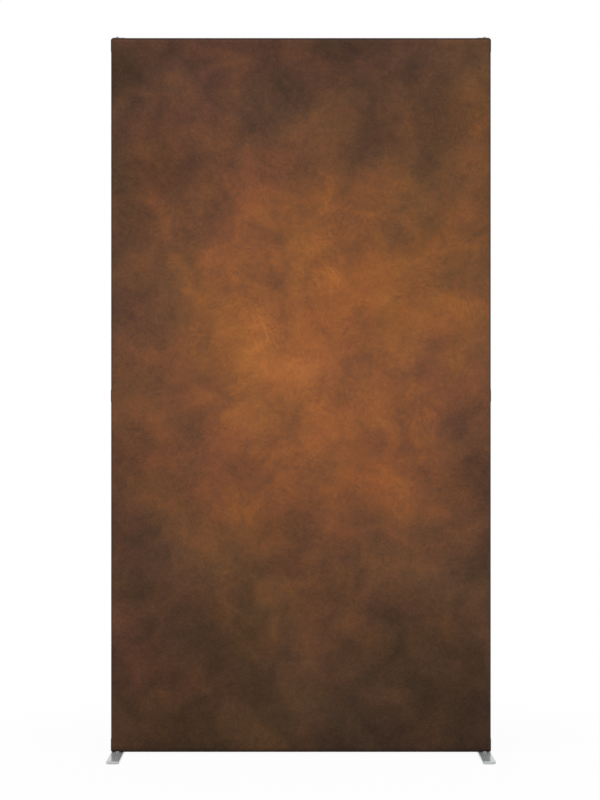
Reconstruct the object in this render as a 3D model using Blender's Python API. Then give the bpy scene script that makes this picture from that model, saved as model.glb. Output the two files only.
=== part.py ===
"""Free-standing collapsible backdrop panel: a folding tube frame in a stretch cover, on two flat feet.

Metres, +Z up, the printed front faces -Y. The origin is on the floor, midway between the feet.
The frame folds backwards at half height, the feet turn on their posts, the fold's lock
buttons press in, and the cover's zip has a slider with a swinging pull.
"""

import math

import bmesh
import bpy
from mathutils import Matrix, Vector

# ---------------------------------------------------------------- driving sizes
PANEL_WIDTH = 1.220  # over the cover
PANEL_HEIGHT = 2.294  # over the cover
FIT = 0.0003  # gap between pieces that touch

TUBE_OD = 0.038
TUBE_WALL = 0.0015
FABRIC = 0.0007  # thickness of the cover's cloth
SEAM_ANGLE = math.radians(66)  # where the back cloth meets the print, from straight ahead

BULGE = 0.0011  # how far corner blocks and knuckles stand out past the tubes
BLOCK_SIDE = 0.040  # corner block, along each tube
RAMP = 0.008  # length over which the cover runs from a bulge back to a tube
CORNER_RADIUS_TOP = 0.010  # of the cover's outline
CORNER_RADIUS_BOTTOM = 0.0065
SPIGOT_LENGTH = 0.035  # inside a tube
SPIGOT_WALL = 0.0032

FOLD_ABOVE_MIDDLE = 0.0015  # the folding axis, above the panel's middle
FOLD_BEHIND = 0.0008  # the folding axis, behind the cover's back
KNUCKLE_LOWER = 0.019  # collar height below the folding axis
KNUCKLE_UPPER = 0.011  # collar height above it
EAR_RADIUS = 0.0045
EAR_CENTRE_HALF = 0.0031  # half width of the upper knuckle's single ear
EAR_SIDE = 0.0040  # width of each of the lower knuckle's two ears
EAR_ROOT_LOWER = 0.011  # how far the lower ears' roots reach down
EAR_ROOT_UPPER = 0.009
HINGE_PIN_RADIUS = 0.0020
EAR_CLEARANCE = 0.0004
EAR_ROOT_Y = 0.0150  # where the ears' roots start, behind the upright's axis

FORK_FRONT = -0.0034
FORK_REAR = -0.0010
FORK_DEPTH = 0.020
FORK_HALF = 0.0065
FORK_SLOT_DEPTH = 0.0105
SOCKET_HALF = 0.0072
SOCKET_FRONT = -0.0145
SOCKET_REAR = 0.0060
SOCKET_FLOOR = 0.017

BUTTON_BELOW_FOLD = 0.013
BUTTON_HEAD_RADIUS = 0.0045
BUTTON_HEAD_LENGTH = 0.0050
BUTTON_PROUD = 0.0025  # past the collar's back
BUTTON_STEM_RADIUS = 0.0025
BUTTON_REACH = 0.0085  # the stem's end, in front of the upright's axis
BUTTON_NECK_RADIUS = 0.0013
BUTTON_NECK_FRONT = -0.0006  # pressing brings the neck level with the fork
BUTTON_NECK_REAR = 0.0030
BUTTON_BORE_LEDGE = 0.0105
CLIP_RADIUS = 0.0042
CLIP_THICKNESS = 0.0010
SPRING_WIRE = 0.00045
SPRING_TURNS = 3

WINDOW_HALF = 0.0092  # opening in the cover's back over each knuckle
WINDOW_BELOW = 0.0240
WINDOW_ABOVE = 0.0200

FOOT_LENGTH = 0.400
FOOT_WIDTH = 0.040
FOOT_THICKNESS = 0.008
FOOT_CORNER = 0.006
FOOT_BEVEL = 0.0016
PAD_LENGTH = 0.060
PAD_WIDTH = 0.032
PAD_THICKNESS = 0.0015
PAD_INSET = 0.008  # from the foot bar's end
POST_RADIUS = 0.0100
POST_HEIGHT = 0.060
POST_CHAMFER = 0.0015
POST_CLEARANCE = 0.0003
FOOT_SCREW_RADIUS = 0.0040
FOOT_SCREW_LENGTH = 0.026
FOOT_SCREW_HEAD = 0.0078
FOOT_SCREW_HEAD_DEPTH = 0.0038
FOOT_SCREW_HEX = 0.0029

CORNER_SCREW_RADIUS = 0.0025
CORNER_SCREW_LENGTH = 0.060
CORNER_SCREW_HEAD = 0.0038
CORNER_SCREW_HEAD_PROUD = 0.0030  # past the cover
CORNER_SCREW_HEX = 0.0022
CORNER_SCREW_HEX_DEPTH = 0.0020
PLUG_REGISTER = 0.010  # how far a plug reaches up into its corner block
EYELET_CLEARANCE = 0.0006

RIVET_RADIUS = 0.0020
RIVET_HEAD_RADIUS = 0.0036
RIVET_HEAD_HEIGHT = 0.0011
RIVET_LENGTH = 0.0075

ZIP_ABOVE_EDGE = 0.040  # the zip's middle above the panel's lower edge
ZIP_FROM_SIDE = 0.070  # from the panel's side to the zip's end
ZIP_TAPE_WIDTH = 0.024
ZIP_TAPE_THICKNESS = 0.0006
ZIP_TEETH_WIDTH = 0.0045
ZIP_TEETH_HEIGHT = 0.0018
SLIDER_LENGTH = 0.011
SLIDER_WALL = 0.0016
SLIDER_GAP = 0.0003
SLIDER_FROM_END = 0.012
PULL_STUD_RADIUS = 0.0011
PULL_STUD_HEAD = 0.0021
PULL_STUD_HEAD_HEIGHT = 0.0007
PULL_THICKNESS = 0.0012
PULL_WIDTH = 0.0070
PULL_LENGTH = 0.0260
PULL_EYE_CLEARANCE = 0.0002

PLUG_CHAMFER = 0.0010
SCREW_CHAMFER = 0.0006
CLIP_GROOVE = 0.0005
PIN_HEAD_RADIUS = 0.0029
PIN_HEAD_HEIGHT = 0.0006
HEAD_TAPER = 0.8  # of a pin or stud head, towards its end
PAD_CORNER = 0.004
FOOT_UNDER_BEVEL = 0.0005
OVERLAP = 0.001  # how far a cutter runs past what it cuts, or a stub into what it joins

ROUND_SEGMENTS = 24
SMALL_SEGMENTS = 12
SCREW_SEGMENTS = 16
BUTTON_SEGMENTS = 24
HEX_SEGMENTS = 6
CORNER_STEPS = 4
BLOCK_STEPS = 6
EAR_STEPS = 16
PULL_STEPS = 6
RIVET_SEGMENTS = 8
SPRING_STEPS = 10  # for each turn
WIRE_SIDES = 4
TRAY_STEP = math.radians(19.1)  # small enough that the cloth clears the tubes between levels
END_STEPS = 2  # of a cover level along its end, past the corner
TIGHTEST = 0.001  # corner radius that the inner levels of a round corner keep
EAR_TURN = 50  # degrees that an eye turns past straight back before its root
SHARP_ANGLE = math.radians(35)

# ---------------------------------------------------------------- worked out from them
TUBE_RADIUS = TUBE_OD / 2
COVER_RADIUS = TUBE_RADIUS + FIT + FABRIC  # of the cover where it goes round a tube
SPIGOT_RADIUS = TUBE_RADIUS - TUBE_WALL - FIT
SPIGOT_BORE = SPIGOT_RADIUS - SPIGOT_WALL
UPRIGHT_X = PANEL_WIDTH / 2 - COVER_RADIUS
FOOT_BOTTOM = PAD_THICKNESS + FIT
FOOT_TOP = FOOT_BOTTOM + FOOT_THICKNESS
PANEL_BOTTOM = FOOT_TOP + FIT
PANEL_TOP = PANEL_BOTTOM + PANEL_HEIGHT
LOWER_RAIL_Z = PANEL_BOTTOM + COVER_RADIUS
UPPER_RAIL_Z = PANEL_TOP - COVER_RADIUS
FOLD_Z = (PANEL_BOTTOM + PANEL_TOP) / 2 + FOLD_ABOVE_MIDDLE
FOLD_Y = COVER_RADIUS + FOLD_BEHIND
KNUCKLE_BOTTOM = FOLD_Z - KNUCKLE_LOWER
KNUCKLE_TOP = FOLD_Z + KNUCKLE_UPPER
COLLAR_RADIUS_X = TUBE_RADIUS + BULGE
BLOCK_INNER_X = PANEL_WIDTH / 2 - BLOCK_SIDE
COVER_SKIN = COVER_RADIUS - TUBE_RADIUS
ZIP_Z = PANEL_BOTTOM + ZIP_ABOVE_EDGE
ZIP_HALF_LENGTH = PANEL_WIDTH / 2 - ZIP_FROM_SIDE
EAR_OUTER = EAR_CENTRE_HALF + FIT + EAR_SIDE
RIVET_START = TUBE_RADIUS - RIVET_LENGTH
SIDES = {"left": -1, "right": 1}
ENDS = {"front": -1, "rear": 1}


# ---------------------------------------------------------------- helpers
def clear_scene():
    """Empty the scene before building."""
    for item in list(bpy.data.objects):
        bpy.data.objects.remove(item, do_unlink=True)


def material(name, colour, roughness, metallic=0.0):
    """A Principled BSDF material of one colour."""
    mat = bpy.data.materials.new(name)
    mat.use_nodes = True
    shader = mat.node_tree.nodes["Principled BSDF"]
    shader.inputs["Base Color"].default_value = (*colour, 1.0)
    shader.inputs["Roughness"].default_value = roughness
    shader.inputs["Metallic"].default_value = metallic
    return mat


def joint_empty(name, place):
    """An empty on a joint's axis; the pieces that it moves are its children."""
    empty = bpy.data.objects.new(name, None)
    empty.location = place
    bpy.context.scene.collection.objects.link(empty)
    return empty


def finish(bm, name, mat=None, parent=None):
    """Write a bmesh in world coordinates to a named object under its parent."""
    bmesh.ops.recalc_face_normals(bm, faces=bm.faces)
    mesh = bpy.data.meshes.new(name)
    bm.to_mesh(mesh)
    bm.free()
    mesh.shade_smooth()
    mesh.set_sharp_from_angle(angle=SHARP_ANGLE)
    obj = bpy.data.objects.new(name, mesh)
    bpy.context.scene.collection.objects.link(obj)
    if mat:
        mesh.materials.append(mat)
    if parent:
        mesh.transform(Matrix.Translation(-parent.location))
        obj.parent = parent
    return obj


def on_side(bm, side):
    """Mirror a right-hand shape to the left where side is -1."""
    bmesh.ops.scale(bm, vec=(side, 1, 1), verts=bm.verts)
    return bm


def on_both_sides(*shapes):
    """Right-hand shapes that don't meet, and their mirror images, as one cutter."""
    bm = bmesh.new()
    for shape in shapes:
        for side in SIDES.values():
            one = on_side(shape(), side)
            bmesh.ops.recalc_face_normals(one, faces=one.faces)
            mesh = bpy.data.meshes.new("one_of_several")
            one.to_mesh(mesh)
            one.free()
            bm.from_mesh(mesh)
            bpy.data.meshes.remove(mesh)
    return bm


def boolean(obj, tools, operation="DIFFERENCE"):
    """Cut tool shapes out of an object, or join them to it, one modifier each."""
    for bm in tools:
        tool = finish(bm, f"{obj.name}_tool_{len(obj.modifiers)}")
        tool.hide_render = True
        tool.display_type = "WIRE"
        mod = obj.modifiers.new(f"{operation.lower()}_{len(obj.modifiers)}", "BOOLEAN")
        mod.operation = operation
        mod.object = tool
    return obj


def loft(rings, ring_of_rings=False):
    """A closed skin over rings of points; end rings are capped unless the rings close up."""
    bm = bmesh.new()
    rows = [[bm.verts.new(point) for point in ring] for ring in rings]
    count = len(rows[0])
    pairs = list(zip(rows, rows[1:]))
    if ring_of_rings:
        pairs.append((rows[-1], rows[0]))
    else:
        bm.faces.new(rows[0])
        bm.faces.new(rows[-1])
    for low, high in pairs:
        for i in range(count):
            j = (i + 1) % count
            bm.faces.new((low[i], low[j], high[j], high[i]))
    return bm


def directions(axis):
    """Two directions across an axis named X, Y or Z, and the axis itself."""
    x, y, z = Vector((1, 0, 0)), Vector((0, 1, 0)), Vector((0, 0, 1))
    return {"X": (y, z, x), "Y": (z, x, y), "Z": (x, y, z)}[axis]


def turned(profile, axis, place, segments):
    """A solid of revolution from (distance along the axis, radius) pairs.

    A third number in a pair is the radius along the second direction across the axis.
    """
    across, up, along = directions(axis)
    angles = [2 * math.pi * (i + 0.5) / segments for i in range(segments)]
    rings = []
    for distance, radius, *other in profile:
        second = other[0] if other else radius
        centre = Vector(place) + along * distance
        rings.append(
            [centre + across * radius * math.cos(a) + up * second * math.sin(a) for a in angles]
        )
    return loft(rings)


def rod(radius, start, end, axis, place, segments=ROUND_SEGMENTS):
    """A plain cylinder between two distances along an axis through a place."""
    return turned([(start, radius), (end, radius)], axis, place, segments)


def pipe(start, end, axis, place):
    """A frame tube as one closed skin, open at both ends."""
    across, up, along = directions(axis)
    inner = TUBE_RADIUS - TUBE_WALL
    corners = ((start, TUBE_RADIUS), (end, TUBE_RADIUS), (end, inner), (start, inner))
    rings = []
    for i in range(ROUND_SEGMENTS):
        a = 2 * math.pi * (i + 0.5) / ROUND_SEGMENTS
        out = across * math.cos(a) + up * math.sin(a)
        rings.append([Vector(place) + along * d + out * r for d, r in corners])
    return loft(rings, ring_of_rings=True)


def box(x, y, z):
    """A box from three (low, high) pairs."""
    corners = ((x[0], y[0]), (x[1], y[0]), (x[1], y[1]), (x[0], y[1]))
    return loft([[(*corner, level) for corner in corners] for level in z])


def prism(outline, low, high):
    """An outline in Y and Z pushed along X."""
    return loft([[(x, y, z) for y, z in outline] for x in (low, high)])


def plate(outline, low, high):
    """An outline in X and Z pushed along Y."""
    return loft([[(x, y, z) for x, z in outline] for y in (low, high)])


def arc(centre, radius, start, end, steps):
    """Points of an arc, angles in degrees."""
    angles = [math.radians(start + (end - start) * i / steps) for i in range(steps + 1)]
    return [(centre[0] + radius * math.cos(a), centre[1] + radius * math.sin(a)) for a in angles]


def rounded_rectangle(half_x, half_y, radius):
    """Outline of a rectangle with round corners."""
    outline = []
    for turn, (sx, sy) in enumerate(((1, 1), (-1, 1), (-1, -1), (1, -1))):
        centre = (sx * (half_x - radius), sy * (half_y - radius))
        outline += arc(centre, radius, 90 * turn, 90 * turn + 90, CORNER_STEPS)
    return outline


# ---------------------------------------------------------------- edge shape of cover and blocks
def corner_arc(end_z, down, radius, reach, angle, end_bulge):
    """One level of the rounded corner of cover or block.

    reach is the radius of the skin round the tubes, and angle is the level on it, from
    straight ahead. Gives the points from the side to the end, with the side's X and the
    end's Z at this level.
    """
    inset = COVER_RADIUS - reach * math.sin(angle)
    tight = max(radius - inset, TIGHTEST)
    side = PANEL_WIDTH / 2 - inset + BULGE * math.sin(angle)
    edge = end_z + down * (inset - end_bulge * math.sin(angle))
    points = []
    for i in range(CORNER_STEPS + 1):
        a = math.pi / 2 * i / CORNER_STEPS
        x = side - tight + tight * math.cos(a)
        points.append((x, edge + down * tight * (1 - math.sin(a))))
    return points, side, edge


def tray_ring(end_z, split_z, radius, reach, angle):
    """One level of half a cover, from the fold down its right side and along its end."""
    down = 1 if split_z > end_z else -1
    knuckle = KNUCKLE_LOWER if down > 0 else KNUCKLE_UPPER
    end_bulge = 0 if down > 0 else BULGE
    corner, side, edge = corner_arc(end_z, down, radius, reach, angle, end_bulge)
    flush_side = side - BULGE * math.sin(angle)
    flush_edge = edge + down * end_bulge * math.sin(angle)
    block_x = PANEL_WIDTH / 2 - BLOCK_SIDE
    points = [
        (side, split_z),
        (side, split_z - down * knuckle),
        (flush_side, split_z - down * (knuckle + RAMP)),
        (flush_side, end_z + down * (BLOCK_SIDE + RAMP)),
        (side, end_z + down * BLOCK_SIDE),
        *corner,
        (block_x, edge),
        (block_x - RAMP, flush_edge),
    ]
    return [(x, -reach * math.cos(angle), z) for x, z in points]


def tray_skin(bm, rings):
    """One skin of half a cover. The last ring of each side borders the flat face."""
    right, left = [
        [[bm.verts.new((x * side, y, z)) for x, y, z in ring] for ring in rings] for side in (1, -1)
    ]
    for half in (right, left):
        for low, high in zip(half, half[1:]):
            for i in range(len(low) - 1):
                bm.faces.new((low[i], low[i + 1], high[i + 1], high[i]))
    for k in range(len(rings) - 1):
        bm.faces.new((right[k][-1], left[k][-1], left[k + 1][-1], right[k + 1][-1]))
    flat_right, flat_left = right[-1], left[-1]
    last = len(flat_right) - END_STEPS - 2
    for i in range(last):
        bm.faces.new((flat_right[i], flat_right[i + 1], flat_left[i + 1], flat_left[i]))
    for flat in (flat_right, flat_left):
        for i in range(last + 1, len(flat) - 1):
            bm.faces.new((flat[last], flat[i], flat[i + 1]))
    bm.faces.new((flat_right[last], flat_right[-1], flat_left[-1], flat_left[last]))
    seam = right[0] + left[0][::-1]
    fold = [row[0] for row in left] + [row[0] for row in right[::-1]]
    return seam + fold[1:-1]


def cover_tray(end_z, split_z, radius, seam_angle, flat_angle):
    """Half a cover: its flat face, and its edge round the tubes as far as the seam."""
    steps = math.ceil(abs(flat_angle - seam_angle) / TRAY_STEP)
    angles = [seam_angle + (flat_angle - seam_angle) * i / steps for i in range(steps + 1)]
    bm = bmesh.new()
    rims = []
    for reach in (COVER_RADIUS, COVER_RADIUS - FABRIC):
        rings = [tray_ring(end_z, split_z, radius, reach, angle) for angle in angles]
        rims.append(tray_skin(bm, rings))
    outer, inner = rims
    for i in range(len(outer)):
        j = (i + 1) % len(outer)
        bm.faces.new((outer[i], outer[j], inner[j], inner[i]))
    bmesh.ops.triangulate(bm, faces=bm.faces[:])
    return bm


def block_body(end_z, down, radius, end_bulge):
    """The body of a corner block: the corner's outer shape, cut square on its inner sides."""
    inner_x = PANEL_WIDTH / 2 - BLOCK_SIDE
    inner_z = end_z + down * BLOCK_SIDE
    rings = []
    for k in range(BLOCK_STEPS + 1):
        angle = math.pi * k / BLOCK_STEPS
        corner, side, edge = corner_arc(end_z, down, radius, TUBE_RADIUS, angle, end_bulge)
        outline = [(side, inner_z), *corner, (inner_x, edge), (inner_x, inner_z)]
        rings.append([(x, -TUBE_RADIUS * math.cos(angle), z) for x, z in outline])
    return loft(rings)


# ---------------------------------------------------------------- frame
def upright_rivet(z):
    """Where a rivet enters a right-hand upright: on the side facing the other upright."""
    return ((UPRIGHT_X, 0, z), "X", -1)


def rail_rivet(z, way):
    """Where a rivet enters the right-hand end of a rail."""
    return ((BLOCK_INNER_X - SPIGOT_LENGTH / 2, 0, z), "Z", way)


LOWER_RIVETS = {
    "post_socket": upright_rivet(PANEL_BOTTOM + BLOCK_SIDE + SPIGOT_LENGTH / 2),
    "knuckle_lower": upright_rivet(KNUCKLE_BOTTOM - SPIGOT_LENGTH / 2),
    "bottom_rail": rail_rivet(LOWER_RAIL_Z, 1),
}
UPPER_RIVETS = {
    "knuckle_upper": upright_rivet(KNUCKLE_TOP + SPIGOT_LENGTH / 2),
    "corner_plug": upright_rivet(PANEL_TOP - BLOCK_SIDE - SPIGOT_LENGTH / 2),
    "top_rail": rail_rivet(UPPER_RAIL_Z, -1),
}


def rivet_holes(*names):
    """Cutters for the right-hand rivets of these names."""
    entries = {**LOWER_RIVETS, **UPPER_RIVETS}
    start, end = RIVET_START, TUBE_RADIUS + TUBE_WALL
    holes = []
    for place, axis, way in (entries[name] for name in names):
        holes.append(rod(RIVET_RADIUS + FIT, start * way, end * way, axis, place, RIVET_SEGMENTS))
    return holes


def rivet(name, side, entry, mat, parent):
    """One blind rivet, entering a right-hand tube as given, mirrored to its side."""
    place, axis, way = entry
    head_start = TUBE_RADIUS + FIT
    profile = [
        (RIVET_START + FIT, RIVET_RADIUS),
        (head_start, RIVET_RADIUS),
        (head_start, RIVET_HEAD_RADIUS),
        (head_start + RIVET_HEAD_HEIGHT, RIVET_HEAD_RADIUS / 2),
    ]
    shape = turned([(d * way, r) for d, r in profile], axis, place, RIVET_SEGMENTS)
    finish(on_side(shape, side), name, mat, parent)


def tubes(mats, fold):
    """The four upright tubes and the two rails, with their rivet holes."""
    for name, side in SIDES.items():
        lower_ends = (PANEL_BOTTOM + BLOCK_SIDE + FIT, KNUCKLE_BOTTOM - FIT)
        tube = on_side(pipe(*lower_ends, "Z", (UPRIGHT_X, 0, 0)), side)
        holes = rivet_holes("post_socket", "knuckle_lower")
        boolean(finish(tube, f"upright_lower_{name}", mats["tube"]), [on_side(h, side) for h in holes])
        upper_ends = (KNUCKLE_TOP + FIT, PANEL_TOP - BLOCK_SIDE - FIT)
        tube = on_side(pipe(*upper_ends, "Z", (UPRIGHT_X, 0, 0)), side)
        holes = rivet_holes("knuckle_upper", "corner_plug")
        upper = finish(tube, f"upright_upper_{name}", mats["tube"], fold)
        boolean(upper, [on_side(h, side) for h in holes])
    half = BLOCK_INNER_X - FIT
    for name, z, parent in (("bottom_rail", LOWER_RAIL_Z, None), ("top_rail", UPPER_RAIL_Z, fold)):
        rail = finish(pipe(-half, half, "X", (0, 0, z)), name, mats["tube"], parent)
        for side in SIDES.values():
            boolean(rail, [on_side(h, side) for h in rivet_holes(name)])


def rail_spigot(z):
    """The stub of a corner block that the rail slides over, and its bore."""
    end = BLOCK_INNER_X - SPIGOT_LENGTH
    stub = rod(SPIGOT_RADIUS, end, BLOCK_INNER_X + OVERLAP, "X", (0, 0, z))
    bore = rod(SPIGOT_BORE, end - OVERLAP, BLOCK_INNER_X - OVERLAP, "X", (0, 0, z))
    return stub, bore


def bottom_block(name, side, mats):
    """Lower corner block: spigots for upright and rail, and the socket for the foot's post."""
    obj = finish(
        on_side(block_body(PANEL_BOTTOM, 1, CORNER_RADIUS_BOTTOM, 0), side),
        f"corner_block_bottom_{name}",
        mats["block"],
    )
    top = PANEL_BOTTOM + BLOCK_SIDE
    stub, bore = rail_spigot(LOWER_RAIL_Z)
    upright_stub = rod(SPIGOT_RADIUS, top - OVERLAP, top + SPIGOT_LENGTH, "Z", (UPRIGHT_X, 0, 0))
    boolean(obj, [on_side(stub, side), on_side(upright_stub, side)], "UNION")
    socket = rod(
        POST_RADIUS + POST_CLEARANCE,
        PANEL_BOTTOM - OVERLAP,
        top + SPIGOT_LENGTH + OVERLAP,
        "Z",
        (UPRIGHT_X, 0, 0),
    )
    holes = rivet_holes("post_socket", "bottom_rail")
    boolean(obj, [on_side(cut, side) for cut in (bore, socket, *holes)])


def top_block(name, side, mats, fold):
    """Upper corner block: a spigot for the rail, a seat for the plug and the screw's hole."""
    obj = finish(
        on_side(block_body(PANEL_TOP, -1, CORNER_RADIUS_TOP, BULGE), side),
        f"corner_block_top_{name}",
        mats["block"],
        fold,
    )
    bottom = PANEL_TOP - BLOCK_SIDE
    stub, bore = rail_spigot(UPPER_RAIL_Z)
    boolean(obj, [on_side(stub, side)], "UNION")
    seat = rod(SPIGOT_RADIUS + FIT, bottom - OVERLAP, bottom + PLUG_REGISTER, "Z", (UPRIGHT_X, 0, 0))
    hole = rod(
        CORNER_SCREW_RADIUS + FIT, bottom, PANEL_TOP + OVERLAP, "Z", (UPRIGHT_X, 0, 0), SMALL_SEGMENTS
    )
    holes = rivet_holes("top_rail")
    boolean(obj, [on_side(cut, side) for cut in (bore, seat, hole, *holes)])


def corner_plug(name, side, mats, fold):
    """Turned plug in the upright's upper end, tapped for the corner screw."""
    top = PANEL_TOP - BLOCK_SIDE + PLUG_REGISTER - FIT
    low = PANEL_TOP - BLOCK_SIDE - SPIGOT_LENGTH
    place = (UPRIGHT_X, 0, 0)
    profile = [
        (low, SPIGOT_RADIUS - PLUG_CHAMFER),
        (low + PLUG_CHAMFER, SPIGOT_RADIUS),
        (top, SPIGOT_RADIUS),
    ]
    plug = on_side(turned(profile, "Z", place, ROUND_SEGMENTS), side)
    obj = finish(plug, f"corner_plug_{name}", mats["turned"], fold)
    end = PANEL_TOP + BULGE - COVER_SKIN - CORNER_SCREW_LENGTH
    tapped = rod(CORNER_SCREW_RADIUS + FIT, end - OVERLAP, top + OVERLAP, "Z", place, SMALL_SEGMENTS)
    holes = rivet_holes("corner_plug")
    boolean(obj, [on_side(cut, side) for cut in (tapped, *holes)])


def corner_screw(name, side, mats, fold):
    """Socket-head screw on the upright's axis; its head stands out above the cover."""
    seat = PANEL_TOP + BULGE - COVER_SKIN + FIT
    head_top = PANEL_TOP + BULGE + CORNER_SCREW_HEAD_PROUD
    profile = [
        (seat - CORNER_SCREW_LENGTH, CORNER_SCREW_RADIUS),
        (seat, CORNER_SCREW_RADIUS),
        (seat, CORNER_SCREW_HEAD),
        (head_top - SCREW_CHAMFER, CORNER_SCREW_HEAD),
        (head_top, CORNER_SCREW_HEAD - SCREW_CHAMFER),
    ]
    place = (UPRIGHT_X, 0, 0)
    screw = on_side(turned(profile, "Z", place, SCREW_SEGMENTS), side)
    obj = finish(screw, f"corner_screw_{name}", mats["steel"], fold)
    key = rod(
        CORNER_SCREW_HEX, head_top - CORNER_SCREW_HEX_DEPTH, head_top + OVERLAP, "Z", place, HEX_SEGMENTS
    )
    boolean(obj, [on_side(key, side)])


# ---------------------------------------------------------------- folding joints
def ear(half_from, half_to, root):
    """One hinge ear: a round eye on the folding axis, and its root towards the collar.

    root is how far the ear reaches along Z on its own side of the fold: negative for the
    lower knuckle.
    """
    way = 1 if root > 0 else -1
    eye = arc((FOLD_Y, 0), EAR_RADIUS, 180, -EAR_TURN, EAR_STEPS)
    outline = [(y, FOLD_Z - way * z) for y, z in eye]
    outline += [(EAR_ROOT_Y, FOLD_Z + root), (EAR_ROOT_Y, FOLD_Z + way * FIT / 2)]
    return prism(outline, UPRIGHT_X + half_from, UPRIGHT_X + half_to)


def ear_relief(half, way):
    """Room in a collar for the other knuckle's ears."""
    reach = EAR_RADIUS + EAR_CLEARANCE
    z = sorted((FOLD_Z - way * OVERLAP, FOLD_Z + way * reach))
    return box((UPRIGHT_X - half, UPRIGHT_X + half), (FOLD_Y - reach, FOLD_Y + reach), z)


def pin_hole():
    """The hinge pin's hole through all the ears."""
    span = EAR_OUTER + OVERLAP
    return rod(HINGE_PIN_RADIUS + FIT, -span, span, "X", (UPRIGHT_X, FOLD_Y, FOLD_Z))


def lower_knuckle(name, side, mats):
    """Lower half of a folding joint: collar, spigot, two ears, fork socket and button bore."""
    place = (UPRIGHT_X, 0, 0)
    low = KNUCKLE_BOTTOM - SPIGOT_LENGTH
    profile = [
        (low, SPIGOT_RADIUS),
        (KNUCKLE_BOTTOM, SPIGOT_RADIUS),
        (KNUCKLE_BOTTOM, COLLAR_RADIUS_X, TUBE_RADIUS),
        (FOLD_Z - FIT / 2, COLLAR_RADIUS_X, TUBE_RADIUS),
    ]
    body = on_side(turned(profile, "Z", place, ROUND_SEGMENTS), side)
    obj = finish(body, f"knuckle_lower_{name}", mats["knuckle"])
    boolean(obj, [on_side(ear_relief(EAR_CENTRE_HALF + EAR_CLEARANCE, -1), side)])
    inner = EAR_CENTRE_HALF + FIT
    pair = [ear(inner, EAR_OUTER, -EAR_ROOT_LOWER), ear(-EAR_OUTER, -inner, -EAR_ROOT_LOWER)]
    boolean(obj, [on_side(one, side) for one in pair], "UNION")
    button_z = FOLD_Z - BUTTON_BELOW_FOLD
    at_button = (UPRIGHT_X, 0, button_z)
    cuts = [
        rod(SPIGOT_BORE, low - OVERLAP, FOLD_Z - SOCKET_FLOOR + OVERLAP, "Z", place),
        box(
            (UPRIGHT_X - SOCKET_HALF, UPRIGHT_X + SOCKET_HALF),
            (SOCKET_FRONT, SOCKET_REAR),
            (FOLD_Z - SOCKET_FLOOR, FOLD_Z + OVERLAP),
        ),
        rod(
            BUTTON_HEAD_RADIUS + FIT, BUTTON_BORE_LEDGE, TUBE_RADIUS + OVERLAP, "Y", at_button
        ),
        rod(BUTTON_STEM_RADIUS + FIT, SOCKET_REAR - OVERLAP, BUTTON_BORE_LEDGE + OVERLAP, "Y", at_button),
        pin_hole(),
        *rivet_holes("knuckle_lower"),
    ]
    boolean(obj, [on_side(cut, side) for cut in cuts])


def fork():
    """The tongue that reaches down into the lower knuckle, on both sides of the button's stem."""
    slot = BUTTON_STEM_RADIUS + EAR_CLEARANCE
    low = FOLD_Z - FORK_DEPTH
    crotch = low + FORK_SLOT_DEPTH
    top = FOLD_Z + FIT / 2 + OVERLAP
    outline = [
        (-FORK_HALF, top),
        (-FORK_HALF, low),
        (-slot, low),
        (-slot, crotch),
        (slot, crotch),
        (slot, low),
        (FORK_HALF, low),
        (FORK_HALF, top),
    ]
    return plate([(UPRIGHT_X + x, z) for x, z in outline], FORK_FRONT, FORK_REAR)


def upper_knuckle(name, side, mats, fold):
    """Upper half of a folding joint: collar, spigot, single ear and fork."""
    place = (UPRIGHT_X, 0, 0)
    top = KNUCKLE_TOP + SPIGOT_LENGTH
    profile = [
        (FOLD_Z + FIT / 2, COLLAR_RADIUS_X, TUBE_RADIUS),
        (KNUCKLE_TOP, COLLAR_RADIUS_X, TUBE_RADIUS),
        (KNUCKLE_TOP, SPIGOT_RADIUS),
        (top, SPIGOT_RADIUS),
    ]
    body = on_side(turned(profile, "Z", place, ROUND_SEGMENTS), side)
    obj = finish(body, f"knuckle_upper_{name}", mats["knuckle"], fold)
    boolean(obj, [on_side(ear_relief(EAR_OUTER + EAR_CLEARANCE, 1), side)])
    joined = [ear(-EAR_CENTRE_HALF, EAR_CENTRE_HALF, EAR_ROOT_UPPER), fork()]
    boolean(obj, [on_side(shape, side) for shape in joined], "UNION")
    cuts = [
        rod(SPIGOT_BORE, KNUCKLE_TOP + OVERLAP, top + OVERLAP, "Z", place),
        pin_hole(),
        *rivet_holes("knuckle_upper"),
    ]
    boolean(obj, [on_side(cut, side) for cut in cuts])


def hinge_pin(name, side, mats):
    """Headed pin through the ears, on the folding axis."""
    seat = EAR_OUTER + FIT
    end = seat + PIN_HEAD_HEIGHT
    half = [(seat, HINGE_PIN_RADIUS), (seat, PIN_HEAD_RADIUS), (end, PIN_HEAD_RADIUS * HEAD_TAPER)]
    profile = [(-d, r) for d, r in half[::-1]] + half
    pin = turned(profile, "X", (UPRIGHT_X, FOLD_Y, FOLD_Z), ROUND_SEGMENTS)
    finish(on_side(pin, side), f"hinge_pin_{name}", mats["steel"])


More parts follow.
